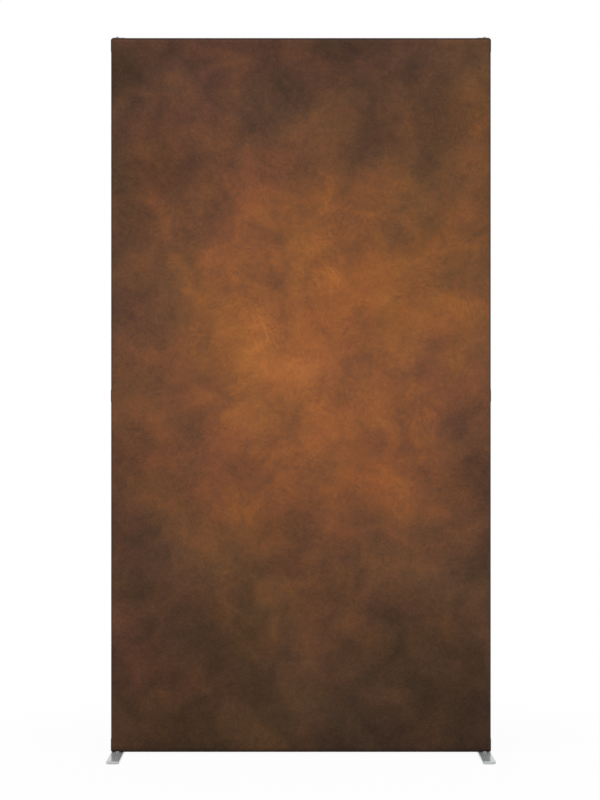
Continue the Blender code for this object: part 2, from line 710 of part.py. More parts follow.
def lock_button(name, side, mats):
    """Spring-loaded button in the lower knuckle's back, its clip and its spring."""
    place = Vector((side * UPRIGHT_X, 0, FOLD_Z - BUTTON_BELOW_FOLD))
    head_out = TUBE_RADIUS + BUTTON_PROUD
    head_in = head_out - BUTTON_HEAD_LENGTH
    clip_rear = SOCKET_REAR - FIT
    clip_front = clip_rear - CLIP_THICKNESS
    groove = BUTTON_STEM_RADIUS - CLIP_GROOVE
    slide = joint_empty(f"lock_{name}_axis", place + Vector((0, head_out, 0)))
    profile = [
        (-BUTTON_REACH, BUTTON_STEM_RADIUS - SCREW_CHAMFER),
        (-BUTTON_REACH + SCREW_CHAMFER, BUTTON_STEM_RADIUS),
        (BUTTON_NECK_FRONT, BUTTON_STEM_RADIUS),
        (BUTTON_NECK_FRONT, BUTTON_NECK_RADIUS),
        (BUTTON_NECK_REAR, BUTTON_NECK_RADIUS),
        (BUTTON_NECK_REAR, BUTTON_STEM_RADIUS),
        (clip_front - FIT, BUTTON_STEM_RADIUS),
        (clip_front - FIT, groove),
        (clip_rear + FIT, groove),
        (clip_rear + FIT, BUTTON_STEM_RADIUS),
        (head_in, BUTTON_STEM_RADIUS),
        (head_in, BUTTON_HEAD_RADIUS),
        (head_out - SCREW_CHAMFER, BUTTON_HEAD_RADIUS),
        (head_out, BUTTON_HEAD_RADIUS - SCREW_CHAMFER),
    ]
    finish(turned(profile, "Y", place, BUTTON_SEGMENTS), f"lock_button_{name}", mats["button"], slide)
    clip = finish(
        rod(CLIP_RADIUS, clip_front, clip_rear, "Y", place, BUTTON_SEGMENTS),
        f"lock_clip_{name}",
        mats["steel"],
        slide,
    )
    eye = rod(groove + FIT, clip_front - OVERLAP, clip_rear + OVERLAP, "Y", place, BUTTON_SEGMENTS)
    boolean(clip, [eye])
    spring = coil(place, BUTTON_BORE_LEDGE + FIT, head_in - FIT)
    finish(spring, f"lock_spring_{name}", mats["steel"])


def coil(place, start, end):
    """A compression spring round the button's stem."""
    radius = (BUTTON_STEM_RADIUS + FIT + BUTTON_HEAD_RADIUS) / 2
    wire = SPRING_WIRE / 2
    steps = SPRING_TURNS * SPRING_STEPS
    rings = []
    for i in range(steps + 1):
        a = 2 * math.pi * i / SPRING_STEPS
        out = Vector((math.cos(a), 0, math.sin(a)))
        y = start + wire + (end - start - 2 * wire) * i / steps
        centre = place + out * radius + Vector((0, y, 0))
        ring = []
        for j in range(WIRE_SIDES):
            b = 2 * math.pi * j / WIRE_SIDES
            ring.append(centre + out * wire * math.cos(b) + Vector((0, wire * math.sin(b), 0)))
        rings.append(ring)
    return loft(rings)


# ---------------------------------------------------------------- cover
def window():
    """Opening in the cover's back over a knuckle, for its hinge and lock button."""
    return box(
        (UPRIGHT_X - WINDOW_HALF, UPRIGHT_X + WINDOW_HALF),
        (COVER_RADIUS / 2, 2 * COVER_RADIUS),
        (FOLD_Z - WINDOW_BELOW, FOLD_Z + WINDOW_ABOVE),
    )


def post_hole():
    """Opening in the cover's lower edge for a foot's post."""
    z = (PANEL_BOTTOM - OVERLAP, PANEL_BOTTOM + COVER_RADIUS)
    return rod(POST_RADIUS + EYELET_CLEARANCE, *z, "Z", (UPRIGHT_X, 0, 0))


def screw_hole():
    """Eyelet in the cover's upper edge for a corner screw."""
    z = (PANEL_TOP - COVER_RADIUS / 2, PANEL_TOP + COVER_RADIUS)
    return rod(CORNER_SCREW_HEAD + EYELET_CLEARANCE, *z, "Z", (UPRIGHT_X, 0, 0), SMALL_SEGMENTS)


def cover(mats, fold):
    """The stretch cover: printed front and black back, each in a lower and an upper half."""
    half_gap = FIT / COVER_RADIUS / 2
    front = (SEAM_ANGLE - half_gap, 0)
    back = (SEAM_ANGLE + half_gap, math.pi)
    lower = (PANEL_BOTTOM, FOLD_Z - FIT / 2, CORNER_RADIUS_BOTTOM)
    upper = (PANEL_TOP, FOLD_Z + FIT / 2, CORNER_RADIUS_TOP)
    front_lower = finish(cover_tray(*lower, *front), "cover_front_lower", mats["print"])
    back_lower = finish(cover_tray(*lower, *back), "cover_back_lower", mats["cloth"])
    finish(cover_tray(*upper, *front), "cover_front_upper", mats["print"], fold)
    back_upper = finish(cover_tray(*upper, *back), "cover_back_upper", mats["cloth"], fold)
    boolean(front_lower, [on_both_sides(post_hole)])
    boolean(back_lower, [on_both_sides(post_hole, window)])
    boolean(back_upper, [on_both_sides(screw_hole, window)])


def zip_fastener(mats):
    """Zip along the back's lower edge: tape with its teeth, slider and swinging pull."""
    tape = COVER_RADIUS + FIT
    tape_back = tape + ZIP_TAPE_THICKNESS
    teeth_back = tape + ZIP_TEETH_HEIGHT
    half_tape, half_teeth = ZIP_TAPE_WIDTH / 2, ZIP_TEETH_WIDTH / 2
    section = [
        (tape, -half_tape),
        (tape_back, -half_tape),
        (tape_back, -half_teeth),
        (teeth_back, -half_teeth),
        (teeth_back, half_teeth),
        (tape_back, half_teeth),
        (tape_back, half_tape),
        (tape, half_tape),
    ]
    section = [(y, ZIP_Z + z) for y, z in section]
    finish(prism(section, -ZIP_HALF_LENGTH, ZIP_HALF_LENGTH), "zip_tape", mats["cloth"])
    slider_x = ZIP_HALF_LENGTH - SLIDER_FROM_END
    inner = half_teeth + SLIDER_GAP
    outer = inner + SLIDER_WALL
    low, roof = tape_back + SLIDER_GAP, teeth_back + SLIDER_GAP
    top = roof + SLIDER_WALL
    channel = [(low, -outer), (top, -outer), (top, outer), (low, outer)]
    channel += [(low, inner), (roof, inner), (roof, -inner), (low, -inner)]
    slide = joint_empty("zip_slide_axis", (slider_x, low, ZIP_Z))
    channel = prism(
        [(y, ZIP_Z + z) for y, z in channel], slider_x - SLIDER_LENGTH / 2, slider_x + SLIDER_LENGTH / 2
    )
    slider = finish(channel, "zip_slider", mats["zinc"], slide)
    place = (slider_x, 0, ZIP_Z)
    head = top + 2 * SLIDER_GAP + PULL_THICKNESS
    stud = [
        (top - SLIDER_WALL / 2, PULL_STUD_RADIUS),
        (head, PULL_STUD_RADIUS),
        (head, PULL_STUD_HEAD),
        (head + PULL_STUD_HEAD_HEIGHT, PULL_STUD_HEAD * HEAD_TAPER),
    ]
    boolean(slider, [turned(stud, "Y", place, SMALL_SEGMENTS)], "UNION")
    zip_pull(mats, slide, slider_x, top + SLIDER_GAP)


def zip_pull(mats, slide, x, y):
    """The pull: a rounded tag that swings on the slider's stud."""
    swing = joint_empty("zip_pull_axis", (x, y, ZIP_Z))
    half = PULL_WIDTH / 2
    low = ZIP_Z + half - PULL_LENGTH + half
    outline = arc((x, ZIP_Z), half, 0, 180, PULL_STEPS) + arc((x, low), half, 180, 360, PULL_STEPS)
    tag = finish(plate(outline, y, y + PULL_THICKNESS), "zip_pull", mats["zinc"], swing)
    eye_radius = PULL_STUD_RADIUS + PULL_EYE_CLEARANCE
    eye = rod(eye_radius, y - OVERLAP, y + PULL_THICKNESS + OVERLAP, "Y", (x, 0, ZIP_Z), SMALL_SEGMENTS)
    boolean(tag, [eye])
    swing.parent = slide
    swing.location = Vector(swing.location) - slide.location


# ---------------------------------------------------------------- feet
def foot(name, side, mats):
    """One foot: bar, post, the screw that holds them together, and two rubber pads."""
    x = side * UPRIGHT_X
    turn = joint_empty(f"foot_{name}_axis", (x, 0, FOOT_TOP))
    half_x, half_y = FOOT_WIDTH / 2, FOOT_LENGTH / 2
    levels = (
        (FOOT_BOTTOM, FOOT_UNDER_BEVEL),
        (FOOT_BOTTOM + FOOT_UNDER_BEVEL, 0),
        (FOOT_TOP - FOOT_BEVEL, 0),
        (FOOT_TOP, FOOT_BEVEL),
    )
    rings = []
    for z, inset in levels:
        outline = rounded_rectangle(half_x - inset, half_y - inset, FOOT_CORNER - inset)
        rings.append([(x + px, py, z) for px, py in outline])
    bar = finish(loft(rings), f"foot_bar_{name}", mats["foot"], turn)
    place = (x, 0, 0)
    cone = FOOT_SCREW_HEAD - FOOT_SCREW_RADIUS
    head_top = FOOT_BOTTOM + FOOT_SCREW_HEAD_DEPTH
    hole = [
        (FOOT_BOTTOM - FIT, FOOT_SCREW_HEAD + FIT),
        (FOOT_BOTTOM + FIT, FOOT_SCREW_HEAD + FIT),
        (head_top + FIT, FOOT_SCREW_HEAD + FIT - cone),
        (FOOT_TOP + OVERLAP, FOOT_SCREW_HEAD + FIT - cone),
    ]
    boolean(bar, [turned(hole, "Z", place, SMALL_SEGMENTS)])
    screw_end = FOOT_BOTTOM + FOOT_SCREW_LENGTH
    shank = [
        (FOOT_BOTTOM + FIT, FOOT_SCREW_HEAD),
        (head_top, FOOT_SCREW_RADIUS),
        (screw_end, FOOT_SCREW_RADIUS),
    ]
    screw = finish(turned(shank, "Z", place, SMALL_SEGMENTS), f"foot_screw_{name}", mats["steel"], turn)
    key = rod(FOOT_SCREW_HEX, FOOT_BOTTOM - OVERLAP, head_top, "Z", place, HEX_SEGMENTS)
    boolean(screw, [key])
    post_low, post_top = FOOT_TOP + FIT, FOOT_TOP + POST_HEIGHT
    stem = [
        (post_low, POST_RADIUS),
        (post_top - POST_CHAMFER, POST_RADIUS),
        (post_top, POST_RADIUS - POST_CHAMFER),
    ]
    post = finish(turned(stem, "Z", place, ROUND_SEGMENTS), f"foot_post_{name}", mats["turned"], turn)
    tapped = rod(
        FOOT_SCREW_RADIUS + FIT, post_low - OVERLAP, screw_end + OVERLAP, "Z", place, SMALL_SEGMENTS
    )
    boolean(post, [tapped])
    for end, way in ENDS.items():
        middle = way * (half_y - PAD_INSET - PAD_LENGTH / 2)
        outline = rounded_rectangle(PAD_WIDTH / 2, PAD_LENGTH / 2, PAD_CORNER)
        pad = loft([[(x + px, middle + py, z) for px, py in outline] for z in (0, PAD_THICKNESS)])
        finish(pad, f"foot_pad_{end}_{name}", mats["rubber"], turn)


# ---------------------------------------------------------------- assembly
def all_materials():
    """Every material of the panel, by short name."""
    return {
        "tube": material("anodised_tube", (0.62, 0.63, 0.65), 0.35, 1.0),
        "block": material("black_nylon_block", (0.03, 0.03, 0.032), 0.5),
        "knuckle": material("cast_knuckle", (0.45, 0.46, 0.48), 0.4, 1.0),
        "turned": material("turned_aluminium", (0.70, 0.71, 0.72), 0.3, 1.0),
        "steel": material("bright_steel", (0.60, 0.60, 0.60), 0.3, 1.0),
        "button": material("red_acetal", (0.50, 0.03, 0.02), 0.4),
        "print": material("printed_stretch_cloth", (0.16, 0.07, 0.03), 0.9),
        "cloth": material("black_stretch_cloth", (0.015, 0.015, 0.016), 0.9),
        "zinc": material("blackened_zinc", (0.10, 0.10, 0.10), 0.4, 1.0),
        "foot": material("silver_powder_coat", (0.48, 0.49, 0.48), 0.4, 0.5),
        "rubber": material("black_rubber", (0.02, 0.02, 0.02), 0.8),
    }


def build():
    """Build the whole panel."""
    clear_scene()
    mats = all_materials()
    fold = joint_empty("fold_axis", (0, FOLD_Y, FOLD_Z))
    bpy.context.view_layer.update()
    tubes(mats, fold)
    for name, side in SIDES.items():
        bottom_block(name, side, mats)
        top_block(name, side, mats, fold)
        corner_plug(name, side, mats, fold)
        corner_screw(name, side, mats, fold)
        lower_knuckle(name, side, mats)
        upper_knuckle(name, side, mats, fold)
        hinge_pin(name, side, mats)
        lock_button(name, side, mats)
        foot(name, side, mats)
        for place, entry in LOWER_RIVETS.items():
            rivet(f"rivet_{place}_{name}", side, entry, mats["turned"], None)
        for place, entry in UPPER_RIVETS.items():
            rivet(f"rivet_{place}_{name}", side, entry, mats["turned"], fold)
    cover(mats, fold)
    zip_fastener(mats)


build()
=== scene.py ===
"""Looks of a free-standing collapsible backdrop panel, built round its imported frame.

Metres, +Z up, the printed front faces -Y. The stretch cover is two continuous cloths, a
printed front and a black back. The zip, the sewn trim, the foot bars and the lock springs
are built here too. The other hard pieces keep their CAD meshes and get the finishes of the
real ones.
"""

from __future__ import annotations

import logging
import math
from collections.abc import Iterable, Sequence
from dataclasses import dataclass, field
from enum import Enum

import bmesh
import bpy
from mathutils import Matrix, Vector, noise


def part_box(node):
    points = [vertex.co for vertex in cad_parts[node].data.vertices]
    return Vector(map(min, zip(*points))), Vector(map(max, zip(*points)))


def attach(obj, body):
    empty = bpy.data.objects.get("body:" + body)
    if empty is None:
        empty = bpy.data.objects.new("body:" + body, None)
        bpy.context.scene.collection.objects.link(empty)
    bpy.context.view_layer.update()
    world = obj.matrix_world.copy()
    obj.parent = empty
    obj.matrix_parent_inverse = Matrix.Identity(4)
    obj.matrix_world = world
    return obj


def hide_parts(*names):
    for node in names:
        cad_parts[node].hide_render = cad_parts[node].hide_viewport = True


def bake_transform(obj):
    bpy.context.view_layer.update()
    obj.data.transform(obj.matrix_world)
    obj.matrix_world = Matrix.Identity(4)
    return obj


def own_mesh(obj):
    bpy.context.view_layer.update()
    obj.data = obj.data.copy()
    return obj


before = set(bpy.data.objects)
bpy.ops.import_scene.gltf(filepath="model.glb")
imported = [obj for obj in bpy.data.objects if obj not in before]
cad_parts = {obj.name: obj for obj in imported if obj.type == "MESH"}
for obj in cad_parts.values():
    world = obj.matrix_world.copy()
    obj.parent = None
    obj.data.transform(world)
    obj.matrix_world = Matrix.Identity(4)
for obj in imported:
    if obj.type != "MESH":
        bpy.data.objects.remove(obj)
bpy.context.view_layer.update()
LOG = logging.getLogger("backdrop_panel")

MM, METRE = 0.001, 1000.0  # a millimetre in metres, and a metre in millimetres
ROUNDING = 1e-6  # share of a span that rounding errors may add
SIDES = {"left": -1, "right": 1}
LOWER, UPPER = "lower_half", "upper_half"
FOLD_REACH = 0.012  # the cover's rows lie close together this far above and below the fold
CLOTH_MAP = "cloth_metres"  # UV map: metres across and up the cloth laid flat

Tree = bpy.types.NodeTree
Node = bpy.types.Node
Socket = bpy.types.NodeSocket
Source = Node | Socket  # what a link starts from; a node stands for its first output
Material = bpy.types.Material
Piece = bpy.types.Object
Colour = tuple[float, float, float, float]
Point = tuple[float, float, float]
Ring = Sequence[Sequence[float]]
Body = tuple[list[Point], list[tuple[int, ...]]]  # points, and the point numbers of each face
Outline = list[tuple[float, float, float, float]]  # place and outward direction of each point
Row = tuple[float, int, int]  # a row or column of cloth: place, side and level round the edge


class Face(Enum):
    """The two faces of the panel, by the way they look along Y."""

    FRONT = -1
    BACK = 1


class Grain(Enum):
    """The axis that drawing marks run along, or that a tape's ribs follow each other on."""

    ALONG_X = "X"
    ALONG_Z = "Z"


# --- node and mesh helpers
def linear(code: str) -> Colour:
    """Turns an sRGB hex colour to the linear values that shaders take.

    Args:
        code: Colour as "#rrggbb".

    Returns:
        Red, green, blue and an alpha of 1.
    """
    parts = (int(code[start : start + 2], 16) / 255 for start in (1, 3, 5))
    return (*(v / 12.92 if v <= 0.04045 else ((v + 0.055) / 1.055) ** 2.4 for v in parts), 1.0)


def feed(tree: Tree, target: Socket, source: object) -> None:
    """Links a socket or sets its value.

    Args:
        tree: The node tree.
        target: The socket to feed.
        source: A node (its first output) or a socket to link from, or a value to set.
    """
    if isinstance(source, Node):
        source = source.outputs[0]
    if isinstance(source, Socket):
        tree.links.new(source, target)
    else:
        target.default_value = source


def add_node(tree: Tree, kind: str, inputs: dict | None = None, **settings: object) -> Node:
    """Adds a node with its settings and links.

    Args:
        tree: Node tree that gets the node.
        kind: Blender's name of the node type, less "ShaderNode".
        inputs: By socket name or index, what feeds it.
        settings: The node's own properties.

    Returns:
        The new node.
    """
    node = tree.nodes.new(f"ShaderNode{kind}")
    for name, value in settings.items():
        setattr(node, name, value)
    for key, value in (inputs or {}).items():
        feed(tree, node.inputs[key], value)
    return node


def bare_tree(owner: Material | bpy.types.World) -> Tree:
    """Empties the node tree of a new material or world.

    Args:
        owner: The material or world.

    Returns:
        Its node tree.
    """
    owner.use_nodes = True
    owner.node_tree.nodes.clear()
    return owner.node_tree


def mesh_piece(name: str, body: Body, material: Material, sharp_degrees: float = 35) -> Piece:
    """Makes a smooth-shaded mesh object with its normals outward, and reports it.

    Args:
        name: Name of the piece.
        body: Its points and faces, in the row frame.
        material: Its finish.
        sharp_degrees: Edges that turn more than this stay sharp.

    Returns:
        The new object, linked to the scene.
    """
    mesh = bpy.data.meshes.new(name)
    mesh.from_pydata([tuple(point) for point in body[0]], [], body[1])
    work = bmesh.new()
    work.from_mesh(mesh)
    bmesh.ops.recalc_face_normals(work, faces=work.faces[:])
    work.to_mesh(mesh)
    work.free()
    mesh.shade_smooth()
    mesh.set_sharp_from_angle(angle=math.radians(sharp_degrees))
    mesh.materials.append(material)
    piece = bpy.data.objects.new(name, mesh)
    bpy.context.scene.collection.objects.link(piece)
    LOG.info("made %s: %d faces in %s", name, len(mesh.polygons), material.name)
    return piece


def swept(rings: Sequence[Ring], closed_path: bool = False) -> Body:
    """Joins rings of equal length into one closed body.

    Args:
        rings: Each ring's points, in order round it.
        closed_path: True if the last ring joins the first one, as in a loop.

    Returns:
        The body.
    """
    size = len(rings[0])
    points = [tuple(point) for ring in rings for point in ring]
    faces: list[tuple[int, ...]] = []
    for k in range(len(rings) if closed_path else len(rings) - 1):
        here, there = k * size, (k + 1) % len(rings) * size
        for i in range(size):
            j = (i + 1) % size
            faces.append((here + i, here + j, there + j, there + i))
    if not closed_path:
        faces.append(tuple(range(size)))
        faces.append(tuple(range(len(points) - size, len(points)))[::-1])
    return points, faces


def merged(bodies: Iterable[Body]) -> Body:
    """Puts several bodies into one.

    Args:
        bodies: The bodies.

    Returns:
        One body with all their points and faces.
    """
    points: list[Point] = []
    faces: list[tuple[int, ...]] = []
    for body_points, body_faces in bodies:
        start = len(points)
        points += body_points
        faces += [tuple(start + i for i in face) for face in body_faces]
    return points, faces


def stations(low: float, high: float, coarse: float, fine: Iterable[Point] = ()) -> list[float]:
    """Places along an edge, close together where the shape changes.

    Args:
        low: First place.
        high: Last place.
        coarse: Longest step.
        fine: Stretches as (start, end, longest step).

    Returns:
        The places in rising order, both ends included.
    """
    zones = [(max(low, a), min(high, b), step) for a, b, step in fine]
    marks = sorted({low, high, *(a for a, _, _ in zones), *(b for _, b, _ in zones)})
    places = [low]
    for start, end in zip(marks, marks[1:]):
        middle = (start + end) / 2
        step = min([s for a, b, s in zones if a < middle < b] + [coarse])
        count = max(1, math.ceil((end - start) / step - ROUNDING))
        places += [start + (end - start) * k / count for k in range(1, count + 1)]
    return places


def smooth_ramp(value: float, start: float, end: float) -> float:
    """0 up to start, 1 from end, and a soft S between them."""
    t = min(1.0, max(0.0, (value - start) / (end - start)))
    return t * t * (3 - 2 * t)


def rounded_outline(
    half_x: float, half_y: float, radius: float, steps: int, longest: float = 1.0
) -> Outline:
    """Goes round a rectangle with round corners.

    Args:
        half_x: Half its width.
        half_y: Half its height.
        radius: Radius of its corners.
        steps: Spans in each corner.
        longest: Longest span on its sides.

    Returns:
        Place (x, y) and outward direction (x, y) of each point.
    """
    outline = []
    for turn, (sx, sy) in enumerate(((1, 1), (-1, 1), (-1, -1), (1, -1))):
        for step in range(steps + 1):
            a = math.pi / 2 * (turn + step / steps)
            nx, ny = math.cos(a), math.sin(a)
            centre_x, centre_y = sx * (half_x - radius), sy * (half_y - radius)
            outline.append((centre_x + radius * nx, centre_y + radius * ny, nx, ny))
    full = []
    for here, there in zip(outline, outline[1:] + outline[:1]):
        gap = math.hypot(there[0] - here[0], there[1] - here[1])
        count = max(1, math.ceil(gap / longest - ROUNDING))
        for k in range(count):
            full.append(tuple(p + (q - p) * k / count for p, q in zip(here, there)))
    return full


def round_cutter(x: float, y: float, radius: float, low: float, high: float) -> Body:
    """An upright round body that cuts a hole.

    Args:
        x: Its axis across.
        y: Its axis in depth.
        radius: Radius of the hole.
        low: Height of its lower end.
        high: Height of its upper end.

    Returns:
        The body.
    """
    corner = radius * 0.999  # leaves the sides some length
    circle = rounded_outline(radius, radius, corner, steps=8)
    return swept([[(x + px, y + py, z) for px, py, _, _ in circle] for z in (low, high)])


def cut(piece: Piece, cutters: Iterable[Body]) -> None:
    """Cuts closed bodies out of a piece's mesh, for good.

    Args:
        piece: A closed mesh with no modifiers.
        cutters: The bodies.
    """
    tool = mesh_piece(f"{piece.name}_cutter", merged(cutters), piece.data.materials[0])
    modifier = piece.modifiers.new("openings", "BOOLEAN")
    modifier.operation = "DIFFERENCE"
    modifier.solver = "EXACT"
    modifier.object = tool
    graph = bpy.context.evaluated_depsgraph_get()
    old = piece.data
    piece.data = bpy.data.meshes.new_from_object(piece.evaluated_get(graph))
    piece.data.name = piece.name
    piece.modifiers.clear()
    bpy.data.objects.remove(tool)
    bpy.data.meshes.remove(old)


def stitch(middle: Vector, along: Vector, out: Vector, length: float, width: float) -> Body:
    """One visible length of thread between two needle holes.

    Args:
        middle: Its middle on the cloth.
        along: Unit vector along the seam.
        out: Unit vector out of the cloth.
        length: Its length.
        width: Its width, twice as much as it stands proud.

    Returns:
        A small plump body.
    """
    across, height = along.cross(out), width / 2
    rings = []
    # Place along, size and lift of each ring, as shares: the ends are thin and sunk.
    for place, size, lift in ((-0.5, 0.45, -0.5), (-0.22, 1, 0), (0.22, 1, 0), (0.5, 0.45, -0.5)):
        centre = middle + along * (place * length) + out * (lift * height)
        rings.append([
            centre + across * (sx * width / 2 * size) + out * (sy * height * size)
            for sx, sy in ((1, 0), (0, 1), (-1, 0), (0, -1))
        ])
    return swept(rings)


def hump(half: float, rise: float, shoulder: float, flat: float) -> list[tuple[float, float]]:
    """Section of a low body that lies on something.

    Args:
        half: Half its width.
        rise: Its height.
        shoulder: Share of the height where it starts to round over.
        flat: Share of the width that is level on top.

    Returns:
        Places across and up, from one foot to the other.
    """
    side = [(half, 0.0), (half, rise * shoulder), (half * flat, rise)]
    return [(-across, up) for across, up in side] + side[::-1]


# --- finishes
def wave_scale(spacing_mm: float) -> float:
    """Scale of a wave texture for a real spacing: it repeats each pi / 10 of its space."""
    return math.pi / 10 / (spacing_mm * MM)


@dataclass(frozen=True)
class Clouds:
    """One layer of soft cloudy noise."""

    size_mm: float  # METRE where the place is already stretched to suit the noise
    detail: float
    roughness: float = 0.5
    curl: float = 0.0
    amount: float = 1.0  # how far it moves what it is added to, either way

    def over(self, place: Source) -> dict[str, object]:
        """What feeds the noise texture that draws it, at a place."""
        return {
            "Vector": place, "Scale": 1 / (self.size_mm * MM), "Detail": self.detail,
            "Roughness": self.roughness, "Distortion": self.curl,
        }


@dataclass(frozen=True)
class Finish:
    """A surface: its name, its colours and the values typical of its material."""

    name: str
    colour: str
    roughness: float
    metallic: float = 0.0
    coat: float = 0.0  # weight of a clear gloss lacquer on top
    sheen: float = 0.0
    specular: float = 0.5
    dark: str = "#101010"  # the colour where the pattern is 0
    spread: float = 0.08  # how far the pattern moves the roughness either way
    depth_mm: float = 0.03
    relief_strength: float = 0.5

    def make(self) -> Material:
        """Makes the material.

        Returns:
            The material, with its shader and what feeds it.
        """
        material = bpy.data.materials.new(self.name)
        tree = bare_tree(material)
        values = {
            "Base Color": linear(self.colour), "Roughness": self.roughness,
            "Metallic": self.metallic, "Coat Weight": self.coat, "Sheen Weight": self.sheen,
            "Specular IOR Level": self.specular,
        }
        shader = add_node(tree, "BsdfPrincipled", values)
        add_node(tree, "OutputMaterial", {"Surface": shader})
        material.diffuse_color = linear(self.colour)
        for name, source in self.surface(tree).items():
            feed(tree, shader.inputs[name], source)
        return material

    def surface(self, tree: Tree) -> dict[str, Source]:
        """Lets the patterns vary the colour, the roughness and the height.

        Args:
            tree: The material's node tree.

        Returns:
            What feeds the shader, by socket name.
        """
        tint, height = self.patterns(tree)
        colours = {0: tint, 6: linear(self.dark), 7: linear(self.colour)}
        mixed = add_node(tree, "Mix", colours, data_type="RGBA")
        high, low = self.roughness + self.spread, self.roughness - self.spread
        rough = add_node(tree, "MapRange", {"Value": tint, "To Min": high, "To Max": low})
        relief = self.relief(tree, height)
        return {"Base Color": mixed.outputs[2], "Roughness": rough, "Normal": relief}

    def patterns(self, tree: Tree) -> tuple[Source, Source]:
        """The tint pattern and the height pattern, both about 0 to 1."""
        raise NotImplementedError

    def relief(self, tree: Tree, height: Source) -> Node:
        """Turns a height pattern to a bump as deep as the real one."""
        values = {"Strength": self.relief_strength, "Distance": self.depth_mm * MM}
        return add_node(tree, "Bump", {**values, "Height": height})


@dataclass(frozen=True)
class DrawnMetal(Finish):
    """Brushed, drawn or turned metal: fine lines one way, which stretch its highlights."""

    metallic: float = 1.0
    spread: float = 0.06
    depth_mm: float = 0.012
    relief_strength: float = 0.6
    line_mm: float = 1.2
    line_length_mm: float = 60.0
    grain: Grain = Grain.ALONG_Z

    def patterns(self, tree: Tree) -> tuple[Source, Source]:
        """Draws the lines.

        Args:
            tree: The material's node tree.

        Returns:
            The lines, for tint and height.
        """
        across, along = 1 / (self.line_mm * MM), 1 / (self.line_length_mm * MM)
        scale = [along if axis == self.grain.value else across for axis in "XYZ"]
        place = add_node(tree, "TexCoord").outputs["Object"]
        mapped = add_node(tree, "Mapping", {"Vector": place, "Scale": scale})
        lines = add_node(tree, "TexNoise", Clouds(METRE, 4.0, 0.6).over(mapped))
        return lines, lines


@dataclass(frozen=True)
class GrainedSurface(Finish):
    """Cast, moulded, plated or painted: a fine all-over grain with larger soft blotches."""

    grain_mm: float = 0.8
    blotch_mm: float = 12.0

    def patterns(self, tree: Tree) -> tuple[Source, Source]:
        """Draws the blotches and the grain.

        Args:
            tree: The material's node tree.

        Returns:
            The blotches for tint, and the grain for height.
        """
        place = add_node(tree, "TexCoord").outputs["Object"]
        blotches = add_node(tree, "TexNoise", Clouds(self.blotch_mm, 5.0, 0.62).over(place))
        return blotches, add_node(tree, "TexNoise", Clouds(self.grain_mm, 3.0).over(place))


@dataclass(frozen=True)
class KnitCloth(Finish):
    """Warp-knitted stretch polyester: fine wales and courses, and a soft sheen."""

    sheen: float = 0.25
    specular: float = 0.25
    dark: str = "#060607"
    spread: float = 0.04
    depth_mm: float = 0.10
    # The knit's wales are 0.5 mm apart. Drawn at 2.2 mm they still show from close by.
    wale_mm: float = 2.2
    course_mm: float = 1.6

    def patterns(self, tree: Tree) -> tuple[Source, Source]:
        """Draws the knit's columns of loops on the cloth laid flat.

        Args:
            tree: The material's node tree.

        Returns:
            The loops, for tint and height.
        """
        flat = add_node(tree, "UVMap", uv_map=CLOTH_MAP)
        pair = []
        for spacing, axis in ((self.wale_mm, "X"), (self.course_mm, "Y")):
            values = {"Vector": flat, "Scale": wave_scale(spacing), "Detail": 1.0}
            wave = add_node(tree, "TexWave", {**values, "Distortion": 0.6}, bands_direction=axis)
            pair.append(wave.outputs["Fac"])
        both = add_node(tree, "Math", dict(enumerate(pair)), operation="MULTIPLY")
        return both, both


@dataclass(frozen=True)
class WovenTape(Finish):
    """Woven polyester tape: narrow ribs across its run, matt with a dry sheen."""

    sheen: float = 0.2
    specular: float = 0.3
    dark: str = "#050505"
    spread: float = 0.05
    depth_mm: float = 0.12
    relief_strength: float = 0.6
    rib_mm: float = 1.0  # real ribs are 0.4 mm; drawn coarser so that they show
    grain: Grain = Grain.ALONG_X

    def patterns(self, tree: Tree) -> tuple[Source, Source]:
        """Draws the ribs.

        Args:
            tree: The material's node tree.

        Returns:
            The ribs, for tint and height.
        """
        place = add_node(tree, "TexCoord").outputs["Object"]
        values = {"Scale": wave_scale(self.rib_mm), "Distortion": 1.0, "Detail": 1.0}
        axis = self.grain.value
        ribs = add_node(tree, "TexWave", {"Vector": place, **values}, bands_direction=axis)
        return ribs.outputs["Fac"], ribs.outputs["Fac"]


@dataclass(frozen=True)
class Wash:
    """One broad soft patch of the painted ground, lighter or darker than what is round it."""

    across: float
    up: float
    half_width: float
    half_height: float
    tilt_degrees: float
    amount: float


